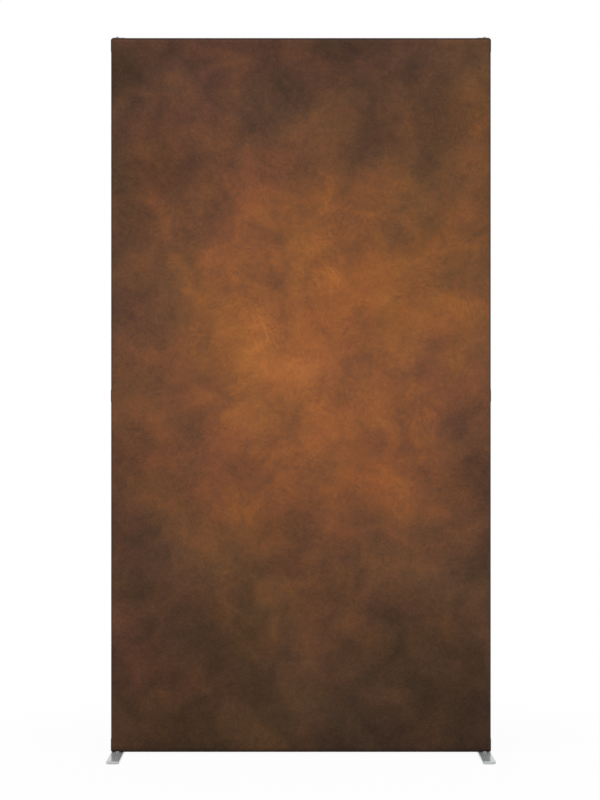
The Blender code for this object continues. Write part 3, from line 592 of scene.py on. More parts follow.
@dataclass(frozen=True)
class MottledPrint(KnitCloth):
    """Dye-printed stretch cloth with a hand-painted look: soft brown mottle, warm in the middle.

    The eye gets a matt cloth with cloudy washes, bristle streaks, patches that lean to red or
    olive, and a canvas grain.
    """

    sheen: float = 0.05
    specular: float = 0.15
    depth_mm: float = 0.08
    relief_strength: float = 0.4
    course_mm: float = 2.2
    tones: tuple[tuple[float, str], ...] = (  # from the darkest wash to the warmest
        (0.00, "#34241d"), (0.08, "#3c291e"), (0.24, "#4b3425"), (0.34, "#563a29"),
        (0.43, "#60402c"), (0.55, "#6f482e"), (0.65, "#7d4e30"), (0.74, "#8a5530"),
        (0.82, "#955b31"), (0.90, "#9f6132"), (1.00, "#ae6a36"),
    )
    ground_tone: float = 0.07
    washes: tuple[Wash, ...] = (
        Wash(0.11, 1.41, 1.46, 2.01, -13, 0.70),
        Wash(0.16, 0.97, 0.22, 0.38, 36, 0.21),
        Wash(-0.14, 0.37, 0.28, 1.90, -15, -0.31),
        Wash(-0.20, 1.29, 0.30, 1.85, -82, 0.10),
        Wash(-0.12, 0.35, 1.79, 0.30, 83, 0.30),
        Wash(0.15, 2.11, 0.61, 0.42, 60, -0.24),
    )
    wash_edge_mm: float = 70.0  # how far a wash's edge wanders
    wanderings: Clouds = Clouds(METRE / 3.5, 4.0)  # of that edge
    brushes: tuple[Clouds, ...] = (
        Clouds(260, 6.0, 0.62, 0.4, 0.32),
        Clouds(130, 3.0, 0.50, 1.0, 0.20),
        Clouds(40, 2.0, 0.60, 2.0, 0.09),
        Clouds(13, 3.0, 0.65, 0.8, 0.10),
    )
    bristle_mm: float = 5.0
    bristle_length_mm: float = 40.0
    bristles: Clouds = Clouds(METRE, 2.0, 0.6, amount=0.54)
    bristle_least: float = 0.1  # share of their amount that is left between the patches
    curls: Clouds = Clouds(250, 2.0, amount=0.16)  # by which the strokes wander
    strokes: tuple[tuple[float, Clouds], ...] = (  # degrees from upright, and their patches
        (25, Clouds(200, 2.0)), (-40, Clouds(METRE / 6.7, 2.0)), (80, Clouds(METRE / 8.4, 2.0)),
    )
    patch_edge: tuple[float, float] = (0.46, 0.68)
    drift: tuple[float, float, float] = (0.70, 0.50, 1.20)  # of red, green and blue
    drifts: Clouds = Clouds(METRE / 1.1, 8.0, 0.70, 0.4)
    # Canvas threads are 0.5 mm apart. Drawn at 6 mm they still show from across a room.
    threads: Clouds = Clouds(6.0, 2.0, 0.8, amount=0.018)
    # Painted shade: the print darkens beyond this far from the cloth's middle, across and up,
    # where the cloth turns round the tubes.
    edge_shade_half: tuple[float, float] = (0.6060, 1.1380)
    edge_shade_middle: float = 1.1571
    edge_shade_ramp: float = 0.0018
    # share of the print's colour left in the painted shade at the edges
    edge_shade_level: float = 0.58

    def surface(self, tree: Tree) -> dict[str, Source]:
        """Paints the ground and raises the knit under it.

        Args:
            tree: The material's node tree.

        Returns:
            What feeds the shader, by socket name.
        """
        place = add_node(tree, "UVMap", uv_map=CLOTH_MAP)
        painted = self.brushwork(tree, place, self.ground(tree, place))
        colour = self.coloured(tree, place, self.combed(tree, place, painted))
        return {"Base Color": colour, "Normal": self.relief(tree, self.patterns(tree)[1])}

    def ground(self, tree: Tree, place: Node) -> Node:
        """Lays the broad washes over each other, with edges that wander.

        Args:
            tree: The material's node tree.
            place: Place on the cloth.

        Returns:
            The tone, 0 dark to 1 warm and light.
        """
        lumps = add_node(tree, "TexNoise", self.wanderings.over(place)).outputs["Color"]
        reach = 4 * self.wash_edge_mm * MM  # the noise strays a quarter either way
        values = {0: lumps, 1: (reach, reach, 0), 2: (-reach / 2, -reach / 2, 0)}
        shift = add_node(tree, "VectorMath", values, operation="MULTIPLY_ADD")
        wandering = add_node(tree, "VectorMath", {0: place, 1: shift}, operation="ADD")
        tone: Node | float = self.ground_tone
        for wash in self.washes:
            values = {
                "Vector": wandering,
                "Location": (wash.across, wash.up, 0),
                "Rotation": (0, 0, math.radians(wash.tilt_degrees)),
                "Scale": (wash.half_width, wash.half_height, 1),
            }
            local = add_node(tree, "Mapping", values, vector_type="TEXTURE")
            away = add_node(tree, "VectorMath", {0: local}, operation="LENGTH").outputs["Value"]
            values = {"Value": away, "From Min": 1.0, "From Max": 0.0, "To Max": wash.amount}
            soft = add_node(tree, "MapRange", values, interpolation_type="SMOOTHSTEP")
            tone = add_node(tree, "Math", {0: soft, 1: tone}, operation="ADD")
        return tone

    def brushwork(self, tree: Tree, place: Node, tone: Node) -> Node:
        """Adds clouds and curled brush marks, from large to small.

        Args:
            tree: The material's node tree.
            place: Place on the cloth.
            tone: Tone of the broad washes.

        Returns:
            The tone with the marks.
        """
        for brush in self.brushes:
            marks = add_node(tree, "TexNoise", brush.over(place))
            values = {"Value": marks, "To Min": -brush.amount, "To Max": brush.amount}
            level = add_node(tree, "MapRange", values, clamp=False)
            tone = add_node(tree, "Math", {0: level, 1: tone}, operation="ADD")
        return tone

    def combed(self, tree: Tree, place: Node, tone: Node) -> Node:
        """Combs the paint with bristle streaks in patches, strongest where the paint is warmest.

        Args:
            tree: The material's node tree.
            place: Place on the cloth.
            tone: Tone so far.

        Returns:
            The combed tone.
        """
        curls = add_node(tree, "TexNoise", self.curls.over(place)).outputs["Color"]
        values = {0: curls, 1: (self.curls.amount, self.curls.amount, 0), 2: place}
        curled = add_node(tree, "VectorMath", values, operation="MULTIPLY_ADD")
        most, (edge_start, edge_end) = self.bristles.amount, self.patch_edge
        edge = {"From Min": edge_start, "From Max": edge_end}
        edge |= {"To Min": self.bristle_least * most, "To Max": most}
        total = tone
        for number, (degrees, patches) in enumerate(self.strokes):
            values = {
                "Vector": curled,
                "Location": (number, 0, 0),
                "Rotation": (0, 0, math.radians(degrees)),
                "Scale": (self.bristle_mm * MM, self.bristle_length_mm * MM, 1),
            }
            drawn_out = add_node(tree, "Mapping", values, vector_type="TEXTURE")
            streaks = add_node(tree, "TexNoise", self.bristles.over(drawn_out))
            centred = add_node(tree, "Math", {0: streaks, 1: 0.5}, operation="SUBTRACT")
            where = add_node(tree, "TexNoise", patches.over(place))
            patchy = add_node(tree, "MapRange", {"Value": where, **edge})
            strength = add_node(tree, "Math", {0: patchy, 1: tone}, operation="MULTIPLY")
            values = {0: centred, 1: strength, 2: total}
            total = add_node(tree, "Math", values, operation="MULTIPLY_ADD")
        return total

    def painted_edge_shade(self, tree: Tree, place: Node) -> Node:
        """Paints shade along the cloth's edges, where it turns round the tubes.

        Args:
            tree: The material's node tree.
            place: Place on the cloth.

        Returns:
            1 on the face, and edge_shade_level in the painted shade by the edges.
        """
        middle, half = (0, self.edge_shade_middle, 0), (*self.edge_shade_half, 0)
        centred = add_node(tree, "VectorMath", {0: place, 1: middle}, operation="SUBTRACT")
        mirrored = add_node(tree, "VectorMath", {0: centred}, operation="ABSOLUTE")
        past = add_node(tree, "VectorMath", {0: mirrored, 1: half}, operation="SUBTRACT")
        parts = add_node(tree, "SeparateXYZ", {0: past}).outputs
        furthest = add_node(tree, "Math", {0: parts["X"], 1: parts["Y"]}, operation="MAXIMUM")
        values = {"From Max": self.edge_shade_ramp, "To Min": 1.0, "To Max": self.edge_shade_level}
        return add_node(tree, "MapRange", {"Value": furthest, **values})

    def coloured(self, tree: Tree, place: Node, tone: Node) -> Node:
        """Turns the tone to brown paint that drifts in hue, on a grained canvas, with painted
        shade along the edges.

        Args:
            tree: The material's node tree.
            place: Place on the cloth.
            tone: The finished tone.

        Returns:
            The colour.
        """
        ramp = add_node(tree, "ValToRGB", {"Fac": tone})
        elements = ramp.color_ramp.elements
        while len(elements) < len(self.tones):
            elements.new(0.5)
        for element, (position, code) in zip(elements, self.tones):
            element.position = position
            element.color = linear(code)
        hues = add_node(tree, "TexNoise", self.drifts.over(place)).outputs["Color"]
        values = {0: hues, 1: self.drift, 2: [1 - part / 2 for part in self.drift]}
        drift = add_node(tree, "VectorMath", values, operation="MULTIPLY_ADD")
        threads, level = add_node(tree, "TexNoise", self.threads.over(place)), self.threads.amount
        grain = add_node(tree, "MapRange", {"Value": threads, "To Min": -level, "To Max": level})
        values = {0: ramp, 1: drift, 2: grain}
        grained = add_node(tree, "VectorMath", values, operation="MULTIPLY_ADD")
        # Painted shade: darkens the colour along the cloth's edges, where it turns round the
        # tubes.
        values = {0: grained, "Scale": self.painted_edge_shade(tree, place)}
        return add_node(tree, "VectorMath", values, operation="SCALE")


# --- where things are
def middle_of(node: str) -> Vector:
    """Middle of a frame node's box."""
    low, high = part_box(node)
    return (low + high) / 2


@dataclass(frozen=True)
class Layout:
    """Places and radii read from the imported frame."""

    upright: float
    rail_low: float
    rail_high: float
    radius: float
    fold: Vector
    bulge: float

    @classmethod
    def measure(cls) -> Layout:
        """Reads the frame's boxes.

        Returns:
            The layout.
        """
        upright, pin = middle_of("upright_lower_right").x, middle_of("hinge_pin_right")
        radius = -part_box("cover_front_lower")[0].y
        return cls(
            upright=upright,
            rail_low=middle_of("bottom_rail").z,
            rail_high=middle_of("top_rail").z,
            radius=radius,
            fold=Vector((0, pin.y, pin.z)),
            bulge=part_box("cover_back_lower")[1].x - upright - radius,
        )


@dataclass(frozen=True)
class CoverShape:
    """The outside of the stretch cover, as one smooth skin over the tubes and blocks."""

    layout: Layout
    block: float = 0.040  # corner block, along each tube
    ramp: float = 0.008  # the cloth eases off a block or knuckle over this length
    knuckle_lower: float = 0.019
    knuckle_upper: float = 0.011
    corner_top: float = 0.010  # radius of the panel's outline
    corner_bottom: float = 0.0065
    tightest: float = 0.001

    def side_bulge(self, z: float) -> float:
        """How far blocks and knuckles push the cover out at a height.

        Args:
            z: Height.

        Returns:
            The extra reach beyond the tube's.
        """
        lay = self.layout
        low_block = lay.rail_low - lay.radius + self.block
        high_block = lay.rail_high + lay.radius - self.block
        low_knuckle = lay.fold.z - self.knuckle_lower
        high_knuckle = lay.fold.z + self.knuckle_upper
        return lay.bulge * max(
            1 - smooth_ramp(z, low_block, low_block + self.ramp),
            smooth_ramp(z, high_block - self.ramp, high_block),
            smooth_ramp(z, low_knuckle - self.ramp, low_knuckle)
            - smooth_ramp(z, high_knuckle, high_knuckle + self.ramp),
        )

    def top_bulge(self, x: float) -> float:
        """How far the corner blocks push the cover up, at a place along the top edge."""
        inner = self.layout.upright + self.layout.radius - self.block
        return self.layout.bulge * smooth_ramp(abs(x), inner - self.ramp, inner)

    def edge(
        self, side_x: int, side_z: int, place: float, along: float, angle: float, reach: float
    ) -> Point:
        """A point on the part of the skin that bends round the panel's edge.

        Args:
            side_x: -1 or 1 on the left or right edge or its corners, else 0.
            side_z: -1 or 1 on the bottom or top edge or its corners, else 0.
            place: Height on the left and right edges, place across on the others.
            along: Place round a corner, 0 at the side to 1 at the end.
            angle: Angle round the tube from straight ahead, in radians.
            reach: Radius of this skin round the tubes.

        Returns:
            The point, with its depth ahead of the panel's middle as a positive number.
        """
        lay = self.layout
        rail = lay.rail_high if side_z > 0 else lay.rail_low
        depth = reach * math.cos(angle)
        wide = (reach + self.side_bulge(rail if side_z else place)) * math.sin(angle)
        end = self.top_bulge(lay.upright if side_x else place) if side_z > 0 else 0
        high = (reach + end) * math.sin(angle)
        if not side_z:
            return (side_x * (lay.upright + wide), depth, place)
        if not side_x:
            return (place, depth, rail + side_z * high)
        outline = self.corner_top if side_z > 0 else self.corner_bottom
        tight = max(outline - lay.radius * (1 - math.sin(angle)), self.tightest)
        tight = min(tight, wide, high)
        legs = (high - tight, math.pi / 2 * tight, wide - tight)
        gone = along * sum(legs)
        if gone < legs[0]:
            across, up = wide, gone
        elif gone < legs[0] + legs[1]:
            turn = (gone - legs[0]) / tight
            across = wide - tight + tight * math.cos(turn)
            up = high - tight + tight * math.sin(turn)
        else:
            across, up = wide - tight - (gone - legs[0] - legs[1]), high
        return (side_x * (lay.upright + across), depth, rail + side_z * up)

    def back_depth(self, x: float, z: float) -> float:
        """How far the cover's back stands behind the panel's middle, near an upright.

        Args:
            x: Place across.
            z: Height.

        Returns:
            The depth.
        """
        lay = self.layout
        past = max(0.0, abs(x) - lay.upright) / (lay.radius + self.side_bulge(z))
        return lay.radius * math.sqrt(max(0.0, 1 - past * past))


# --- the stretch cover
@dataclass
class CoverSheet:
    """One of the cover's two cloths, from the flat face round the tubes to the seam."""

    shape: CoverShape
    face: Face
    name: str
    slot: str
    wrap_degrees: float
    wrap_steps: int
    thickness: float = 0.0006
    coarse: float = 0.020  # longest span on the flat
    fine: float = 0.004  # by the blocks
    end_reach: float = 0.032  # finer rows reach this far from a rail
    block_lead: float = 0.012  # finer columns start this far inside a block
    fold_row: float = 0.0017  # rows by the fold
    window_row: float = 0.0035
    window_reach: tuple[float, float] = (0.025, 0.020)  # below and above the rows by the fold
    seam_lip_degrees: float = 2.5
    seam_depth: float = 0.00035
    slack: float = 0.0003  # the taut cloth dips this far between the tubes
    slack_start: tuple[float, float] = (0.01, 0.12)  # from a tube: where it starts, where full
    slack_shares: tuple[float, float] = (0.6, 0.8)  # of the even dip and of its ripples
    ripples_per_metre: tuple[float, float] = (2.1, 1.3)  # across and up
    sharp_degrees: float = 50
    piece: Piece | None = field(default=None, init=False)

    def levels(self) -> list[float]:
        """Spreads the rows round the edge.

        Returns:
            Their angles from straight ahead, in radians, the seam's last.
        """
        last = self.wrap_degrees - self.seam_lip_degrees
        even = [last * k / (self.wrap_steps - 1) for k in range(self.wrap_steps)]
        return [math.radians(angle) for angle in [*even, self.wrap_degrees]]

    def lines(self, places: Sequence[float]) -> list[Row]:
        """Adds the edge rows to the places on the flat.

        Args:
            places: Places on the flat along one direction.

        Returns:
            The rows; the flat is side 0 and level 0.
        """
        steps = range(1, self.wrap_steps + 1)
        before = [(places[0], -1, k) for k in reversed(steps)]
        return [*before, *((p, 0, 0) for p in places), *((places[-1], 1, k) for k in steps)]

    def dip(self, x: float, z: float) -> float:
        """How deep the taut cloth dips between the tubes.

        Args:
            x: Place across.
            z: Height.

        Returns:
            Depth of the dip.
        """
        lay = self.shape.layout
        inside = min(lay.upright - abs(x), z - lay.rail_low, lay.rail_high - z)
        (across, up), (even, rippled) = self.ripples_per_metre, self.slack_shares
        ripple = noise.noise(Vector((x * across, z * up, self.face.value * 5.0)))
        return self.slack * smooth_ramp(inside, *self.slack_start) * (even + rippled * ripple)

    def point(self, column: Row, row: Row, inset: float) -> Point:
        """A vertex of the cloth.

        Args:
            column: Its column.
            row: Its row.
            inset: Depth of this skin below the cloth's outside.

        Returns:
            The vertex in the row frame.
        """
        (x, side_x, a), (z, side_z, b) = column, row
        level, reach = max(a, b), self.shape.layout.radius - inset
        if not level:
            return (x, self.face.value * (reach - self.dip(x, z)), z)
        if level == self.wrap_steps and not inset:
            reach -= self.seam_depth
        along = 0.0
        if a and b:
            along = b / level / 2 if a == level else 1 - a / level / 2
        place, angle = (x if side_z else z), self.levels()[level]
        px, depth, pz = self.shape.edge(side_x, side_z, place, along, angle, reach)
        return (px, self.face.value * depth, pz)

    def build(self, material: Material) -> Piece:
        """Builds the cloth as one closed thin shell with its flat UV map.

        Args:
            material: The cloth's finish.

        Returns:
            The cloth.
        """
        lay, shape = self.shape.layout, self.shape
        inner = lay.upright + lay.radius - shape.block - self.block_lead
        ends = [(-lay.upright, -inner, self.fine), (inner, lay.upright, self.fine)]
        columns = self.lines(stations(-lay.upright, lay.upright, self.coarse, ends))
        low, high = lay.fold.z - FOLD_REACH, lay.fold.z + FOLD_REACH
        zones = [
            (lay.rail_low, lay.rail_low + self.end_reach, self.fine),
            (low, high, self.fold_row),
            (low - self.window_reach[0], high + self.window_reach[1], self.window_row),
            (lay.rail_high - self.end_reach, lay.rail_high, self.fine),
        ]
        rows = self.lines(stations(lay.rail_low, lay.rail_high, self.coarse, zones))
        insets = (0.0, self.thickness)
        points = [self.point(c, r, inset) for inset in insets for r in rows for c in columns]
        faces = self.shell_faces(len(columns), len(rows))
        self.piece = mesh_piece(self.name, (points, faces), material, self.sharp_degrees)
        self.lay_flat(columns, rows)
        return self.piece

    def shell_faces(self, wide: int, high: int) -> list[tuple[int, ...]]:
        """Faces of a grid of two skins, and of the rim that joins them.

        Args:
            wide: Number of columns.
            high: Number of rows.

        Returns:
            The faces; the outer skin's points come first.
        """
        inner = wide * high
        faces: list[tuple[int, ...]] = []
        for j in range(high - 1):
            for i in range(wide - 1):
                k = j * wide + i
                quad = (k, k + 1, k + 1 + wide, k + wide)
                faces += [quad, tuple(inner + v for v in reversed(quad))]
        rim = [*range(wide), *(j * wide + wide - 1 for j in range(1, high))]
        rim += [(high - 1) * wide + i for i in reversed(range(wide - 1))]
        rim += [j * wide for j in reversed(range(1, high - 1))]
        for start, end in zip(rim, rim[1:] + rim[:1]):
            faces.append((start, inner + start, inner + end, end))
        return faces

    def lay_flat(self, columns: list[Row], rows: list[Row]) -> None:
        """Writes the cloth's flat places to its UV map.

        Args:
            columns: The cloth's columns.
            rows: The cloth's rows.
        """
        angles, reach = self.levels(), self.shape.layout.radius
        across = [x + side * reach * angles[level] for x, side, level in columns]
        up = [z + side * reach * angles[level] for z, side, level in rows]
        flat = [(u, v) for v in up for u in across] * 2
        layer = self.piece.data.uv_layers.new(name=CLOTH_MAP)
        for loop in self.piece.data.loops:
            layer.data[loop.index].uv = flat[loop.vertex_index]

    def size(self) -> tuple[float, float]:
        """Measures the cloth laid flat.

        Returns:
            Its width and length.
        """
        lay = self.shape.layout
        wrap = 2 * lay.radius * math.radians(self.wrap_degrees)
        return (2 * lay.upright + wrap, lay.rail_high - lay.rail_low + wrap)

    def fit(self) -> None:
        bend(self.piece)
        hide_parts(f"{self.name}_lower", f"{self.name}_upper")
        self.size()


def bend(piece: Piece) -> None:
    """Bakes a piece of the cover's placing into its mesh; it does not bend at the fold."""
    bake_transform(piece)


@dataclass
class StretchCover:
    """The whole cover: printed front, black back, their topstitched seam and the openings."""

    shape: CoverShape
    window_half: float = 0.0092
    window_below: float = 0.0240
    window_above: float = 0.0200
    window_corner: float = 0.0030
    window_steps: int = 5  # spans in each corner
    window_cut: tuple[float, float] = (1 / 3, 1.5)  # depths behind the middle, in tube radii
    post_hole_radius: float = 0.0106
    post_cut: tuple[float, float] = (-0.05, -0.008)  # heights from the bottom rail's middle
    eyelet_radius: float = 0.0044
    eyelet_cut: tuple[float, float] = (0.010, 0.05)  # heights from the top rail's middle
    eyelet_lip: float = 0.0002
    eyelet_flange: float = 0.0024
    eyelet_rise: float = 0.0007
    eyelet_steps: int = 40
    stitch_pitch: float = 0.0042  # between needle holes
    stitch_length: float = 0.0033
    thread: float = 0.0007
    stitch_degrees: float = 76.0  # from straight ahead, on the black side of the seam
    seam_step: float = 0.002
    corner_steps: int = 12
    # The folded tape's section: outward from the opening's edge, and off the cloth.
    binding_mm: tuple[tuple[float, float], ...] = (
        (0, -0.9), (-0.4, -0.4), (-0.4, 0.36), (0.4, 0.6), (2.75, 0.6), (4.4, 0.54), (5, 0.3),
        (5, -0.2), (0.6, -0.2),
    )
    binding_steps: int = 6  # spans in each corner
    binding_span: float = 0.0018

    def build(self, finishes: dict[str, Material]) -> None:
        """Builds the cover.

        Args:
            finishes: The panel's materials by short name.
        """
        lay = self.shape.layout
        printed = CoverSheet(
            self.shape, Face.FRONT, "cover_front", "print", wrap_degrees=66.0, wrap_steps=10
        )
        black = CoverSheet(
            self.shape, Face.BACK, "cover_back", "cloth", wrap_degrees=114.0, wrap_steps=16
        )
        posts = self.holes(self.post_hole_radius, lay.rail_low, self.post_cut)
        eyelets = self.holes(self.eyelet_radius, lay.rail_high, self.eyelet_cut)
        depths, windows = [lay.radius * depth for depth in self.window_cut], []
        for side in SIDES:
            edge = self.window(side, self.window_steps)
            windows.append(swept([[(x, y, z) for x, z, _, _ in edge] for y in depths]))
        cut(printed.build(finishes["print"]), posts)
        cut(black.build(finishes["cloth"]), [*windows, *posts, *eyelets])
        sewn = [self.topstitching(finishes["thread"])]
        for side in SIDES:
            sewn.append(self.binding(side, finishes["trim"]))
            sewn.append(self.eyelet(side, finishes["eyelet"]))
        printed.fit()
        black.fit()

    def window(self, side: str, steps: int, longest: float = 1.0) -> Outline:
        """Edge of the opening behind a knuckle.

        Args:
            side: Name of the side.
            steps: Spans in each corner.
            longest: Longest span on its sides.

        Returns:
            Place and outward direction of each point, across and up.
        """
        lay, half = self.shape.layout, (self.window_below + self.window_above) / 2
        middle = lay.fold.z + (self.window_above - self.window_below) / 2
        edge = rounded_outline(self.window_half, half, self.window_corner, steps, longest)
        return [(SIDES[side] * lay.upright + x, middle + z, nx, nz) for x, z, nx, nz in edge]

    def holes(self, radius: float, rail: float, heights: tuple[float, float]) -> list[Body]:
        """Round cutters in line with both uprights.

        Args:
            radius: Radius of the hole.
            rail: Height of the rail's middle.
            heights: The cutter's ends from there.

        Returns:
            The cutters.
        """
        places = [sign * self.shape.layout.upright for sign in SIDES.values()]
        low, high = (rail + height for height in heights)
        return [round_cutter(x, 0.0, radius, low, high) for x in places]

    def topstitching(self, material: Material) -> Piece:
        """Sews the line of stitches beside the seam, right round the panel.

        Args:
            material: Finish of the thread.

        Returns:
            The stitches, as one piece.
        """
        angle, path = math.radians(self.stitch_degrees), self.seam_path()
        gone = [0.0]
        for here, there in zip(path, path[1:]):
            gone.append(gone[-1] + (there - here).length)
        count = round(gone[-1] / self.stitch_pitch)
        bodies, place = [], 0
        for k in range(count):
            target = gone[-1] * (k + 0.5) / count
            while gone[place + 1] < target:
                place += 1
            here, there = path[place], path[place + 1]
            middle = here.lerp(there, (target - gone[place]) / (gone[place + 1] - gone[place]))
            along = (there - here).normalized()
            level = Vector((0, 1, 0)).cross(along)
            if level.dot(middle - Vector((0, middle.y, self.shape.layout.fold.z))) < 0:
                level = -level
            out = level.normalized() * math.sin(angle) - Vector((0, math.cos(angle), 0))
            out = out.normalized()
            bodies.append(stitch(middle, along, out, self.stitch_length, self.thread))
        piece = mesh_piece("seam_topstitching", merged(bodies), material, sharp_degrees=60)
        bend(piece)
        return piece

    def seam_path(self) -> list[Vector]:
        """Goes along the topstitching, from the right side's foot round to it again.

        Returns:
            Points close together along it.
        """
        lay, angle = self.shape.layout, math.radians(self.stitch_degrees)
        side, low, high = lay.upright, lay.rail_low, lay.rail_high
        # For each edge its sides along X and Z, its start and end, and the corner after it.
        edges = (
            (1, 0, low, high, 1, 1), (0, 1, side, -side, -1, 1),
            (-1, 0, high, low, -1, -1), (0, -1, -side, side, 1, -1),
        )
        path = []
        for side_x, side_z, start, end, corner_x, corner_z in edges:
            way = 1 if end > start else -1
            places = stations(way * start, way * end, self.seam_step)
            spots = [(side_x, side_z, way * place, 0.0) for place in places]
            for step in range(1, self.corner_steps + 1):
                share = step / self.corner_steps
                along = share if corner_x == corner_z else 1 - share
                spots.append((corner_x, corner_z, 0.0, along))
            for spot in spots:
                x, depth, z = self.shape.edge(*spot, angle, lay.radius)
                path.append(Vector((x, -depth, z)))
        return path

    def binding(self, side: str, material: Material) -> Piece:
        """Binds the edge of the opening behind a knuckle with folded tape.

        Args:
            side: Name of the side.
            material: Finish of the tape.

        Returns:
            The binding.
        """
        lay, sign = self.shape.layout, SIDES[side]
        rings = []
        for x, z, nx, nz in self.window(side, self.binding_steps, self.binding_span):
            ring = []
            for out, lift in self.binding_mm:
                px, pz = x + nx * out * MM, z + nz * out * MM
                lean = max(0.0, (abs(px) - lay.upright) / lay.radius)
                normal = Vector((sign * lean, math.sqrt(max(0.0, 1 - lean * lean)), 0))
                on_cloth = Vector((px, self.shape.back_depth(px, pz), pz))
                ring.append(on_cloth + normal * (lift * MM))
            rings.append(ring)
        body = swept(rings, closed_path=True)
        piece = mesh_piece(f"window_binding_{side}", body, material, sharp_degrees=50)
        bend(piece)
        return piece

    def eyelet(self, side: str, material: Material) -> Piece:
        """Sets a pressed metal eyelet in the cloth round a screw head on top.

        Args:
            side: Name of the side.
            material: Finish of the eyelet.

        Returns:
            The eyelet.
        """
        lay = self.shape.layout
        reach = lay.radius + self.shape.top_bulge(lay.upright)
        inner = self.eyelet_radius - self.eyelet_lip
        outer = self.eyelet_radius + self.eyelet_flange
        middle, half = (inner + outer) / 2, (outer - inner) / 2
        turns = [math.pi * k / 8 for k in range(9)]
        profile = [(middle - half * math.cos(a), self.eyelet_rise * math.sin(a)) for a in turns]
        # The underside is tucked into the cloth.
        profile += [(outer - 0.0002, -0.0002), (inner + 0.0005, -0.0003), (inner, -0.0010)]
        rings = []
        for k in range(self.eyelet_steps):
            turn = math.tau * k / self.eyelet_steps
            ring = []
            for radius, lift in profile:
                x, y = radius * math.cos(turn), radius * math.sin(turn)
                drop = reach * (1 - math.sqrt(1 - (y / lay.radius) ** 2))
                z = lay.rail_high + reach - drop + lift
                ring.append((SIDES[side] * lay.upright + x, y, z))
            rings.append(ring)
        body = swept(rings, closed_path=True)
        piece = mesh_piece(f"corner_eyelet_{side}", body, material, sharp_degrees=60)
        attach(piece, UPPER)
        return piece


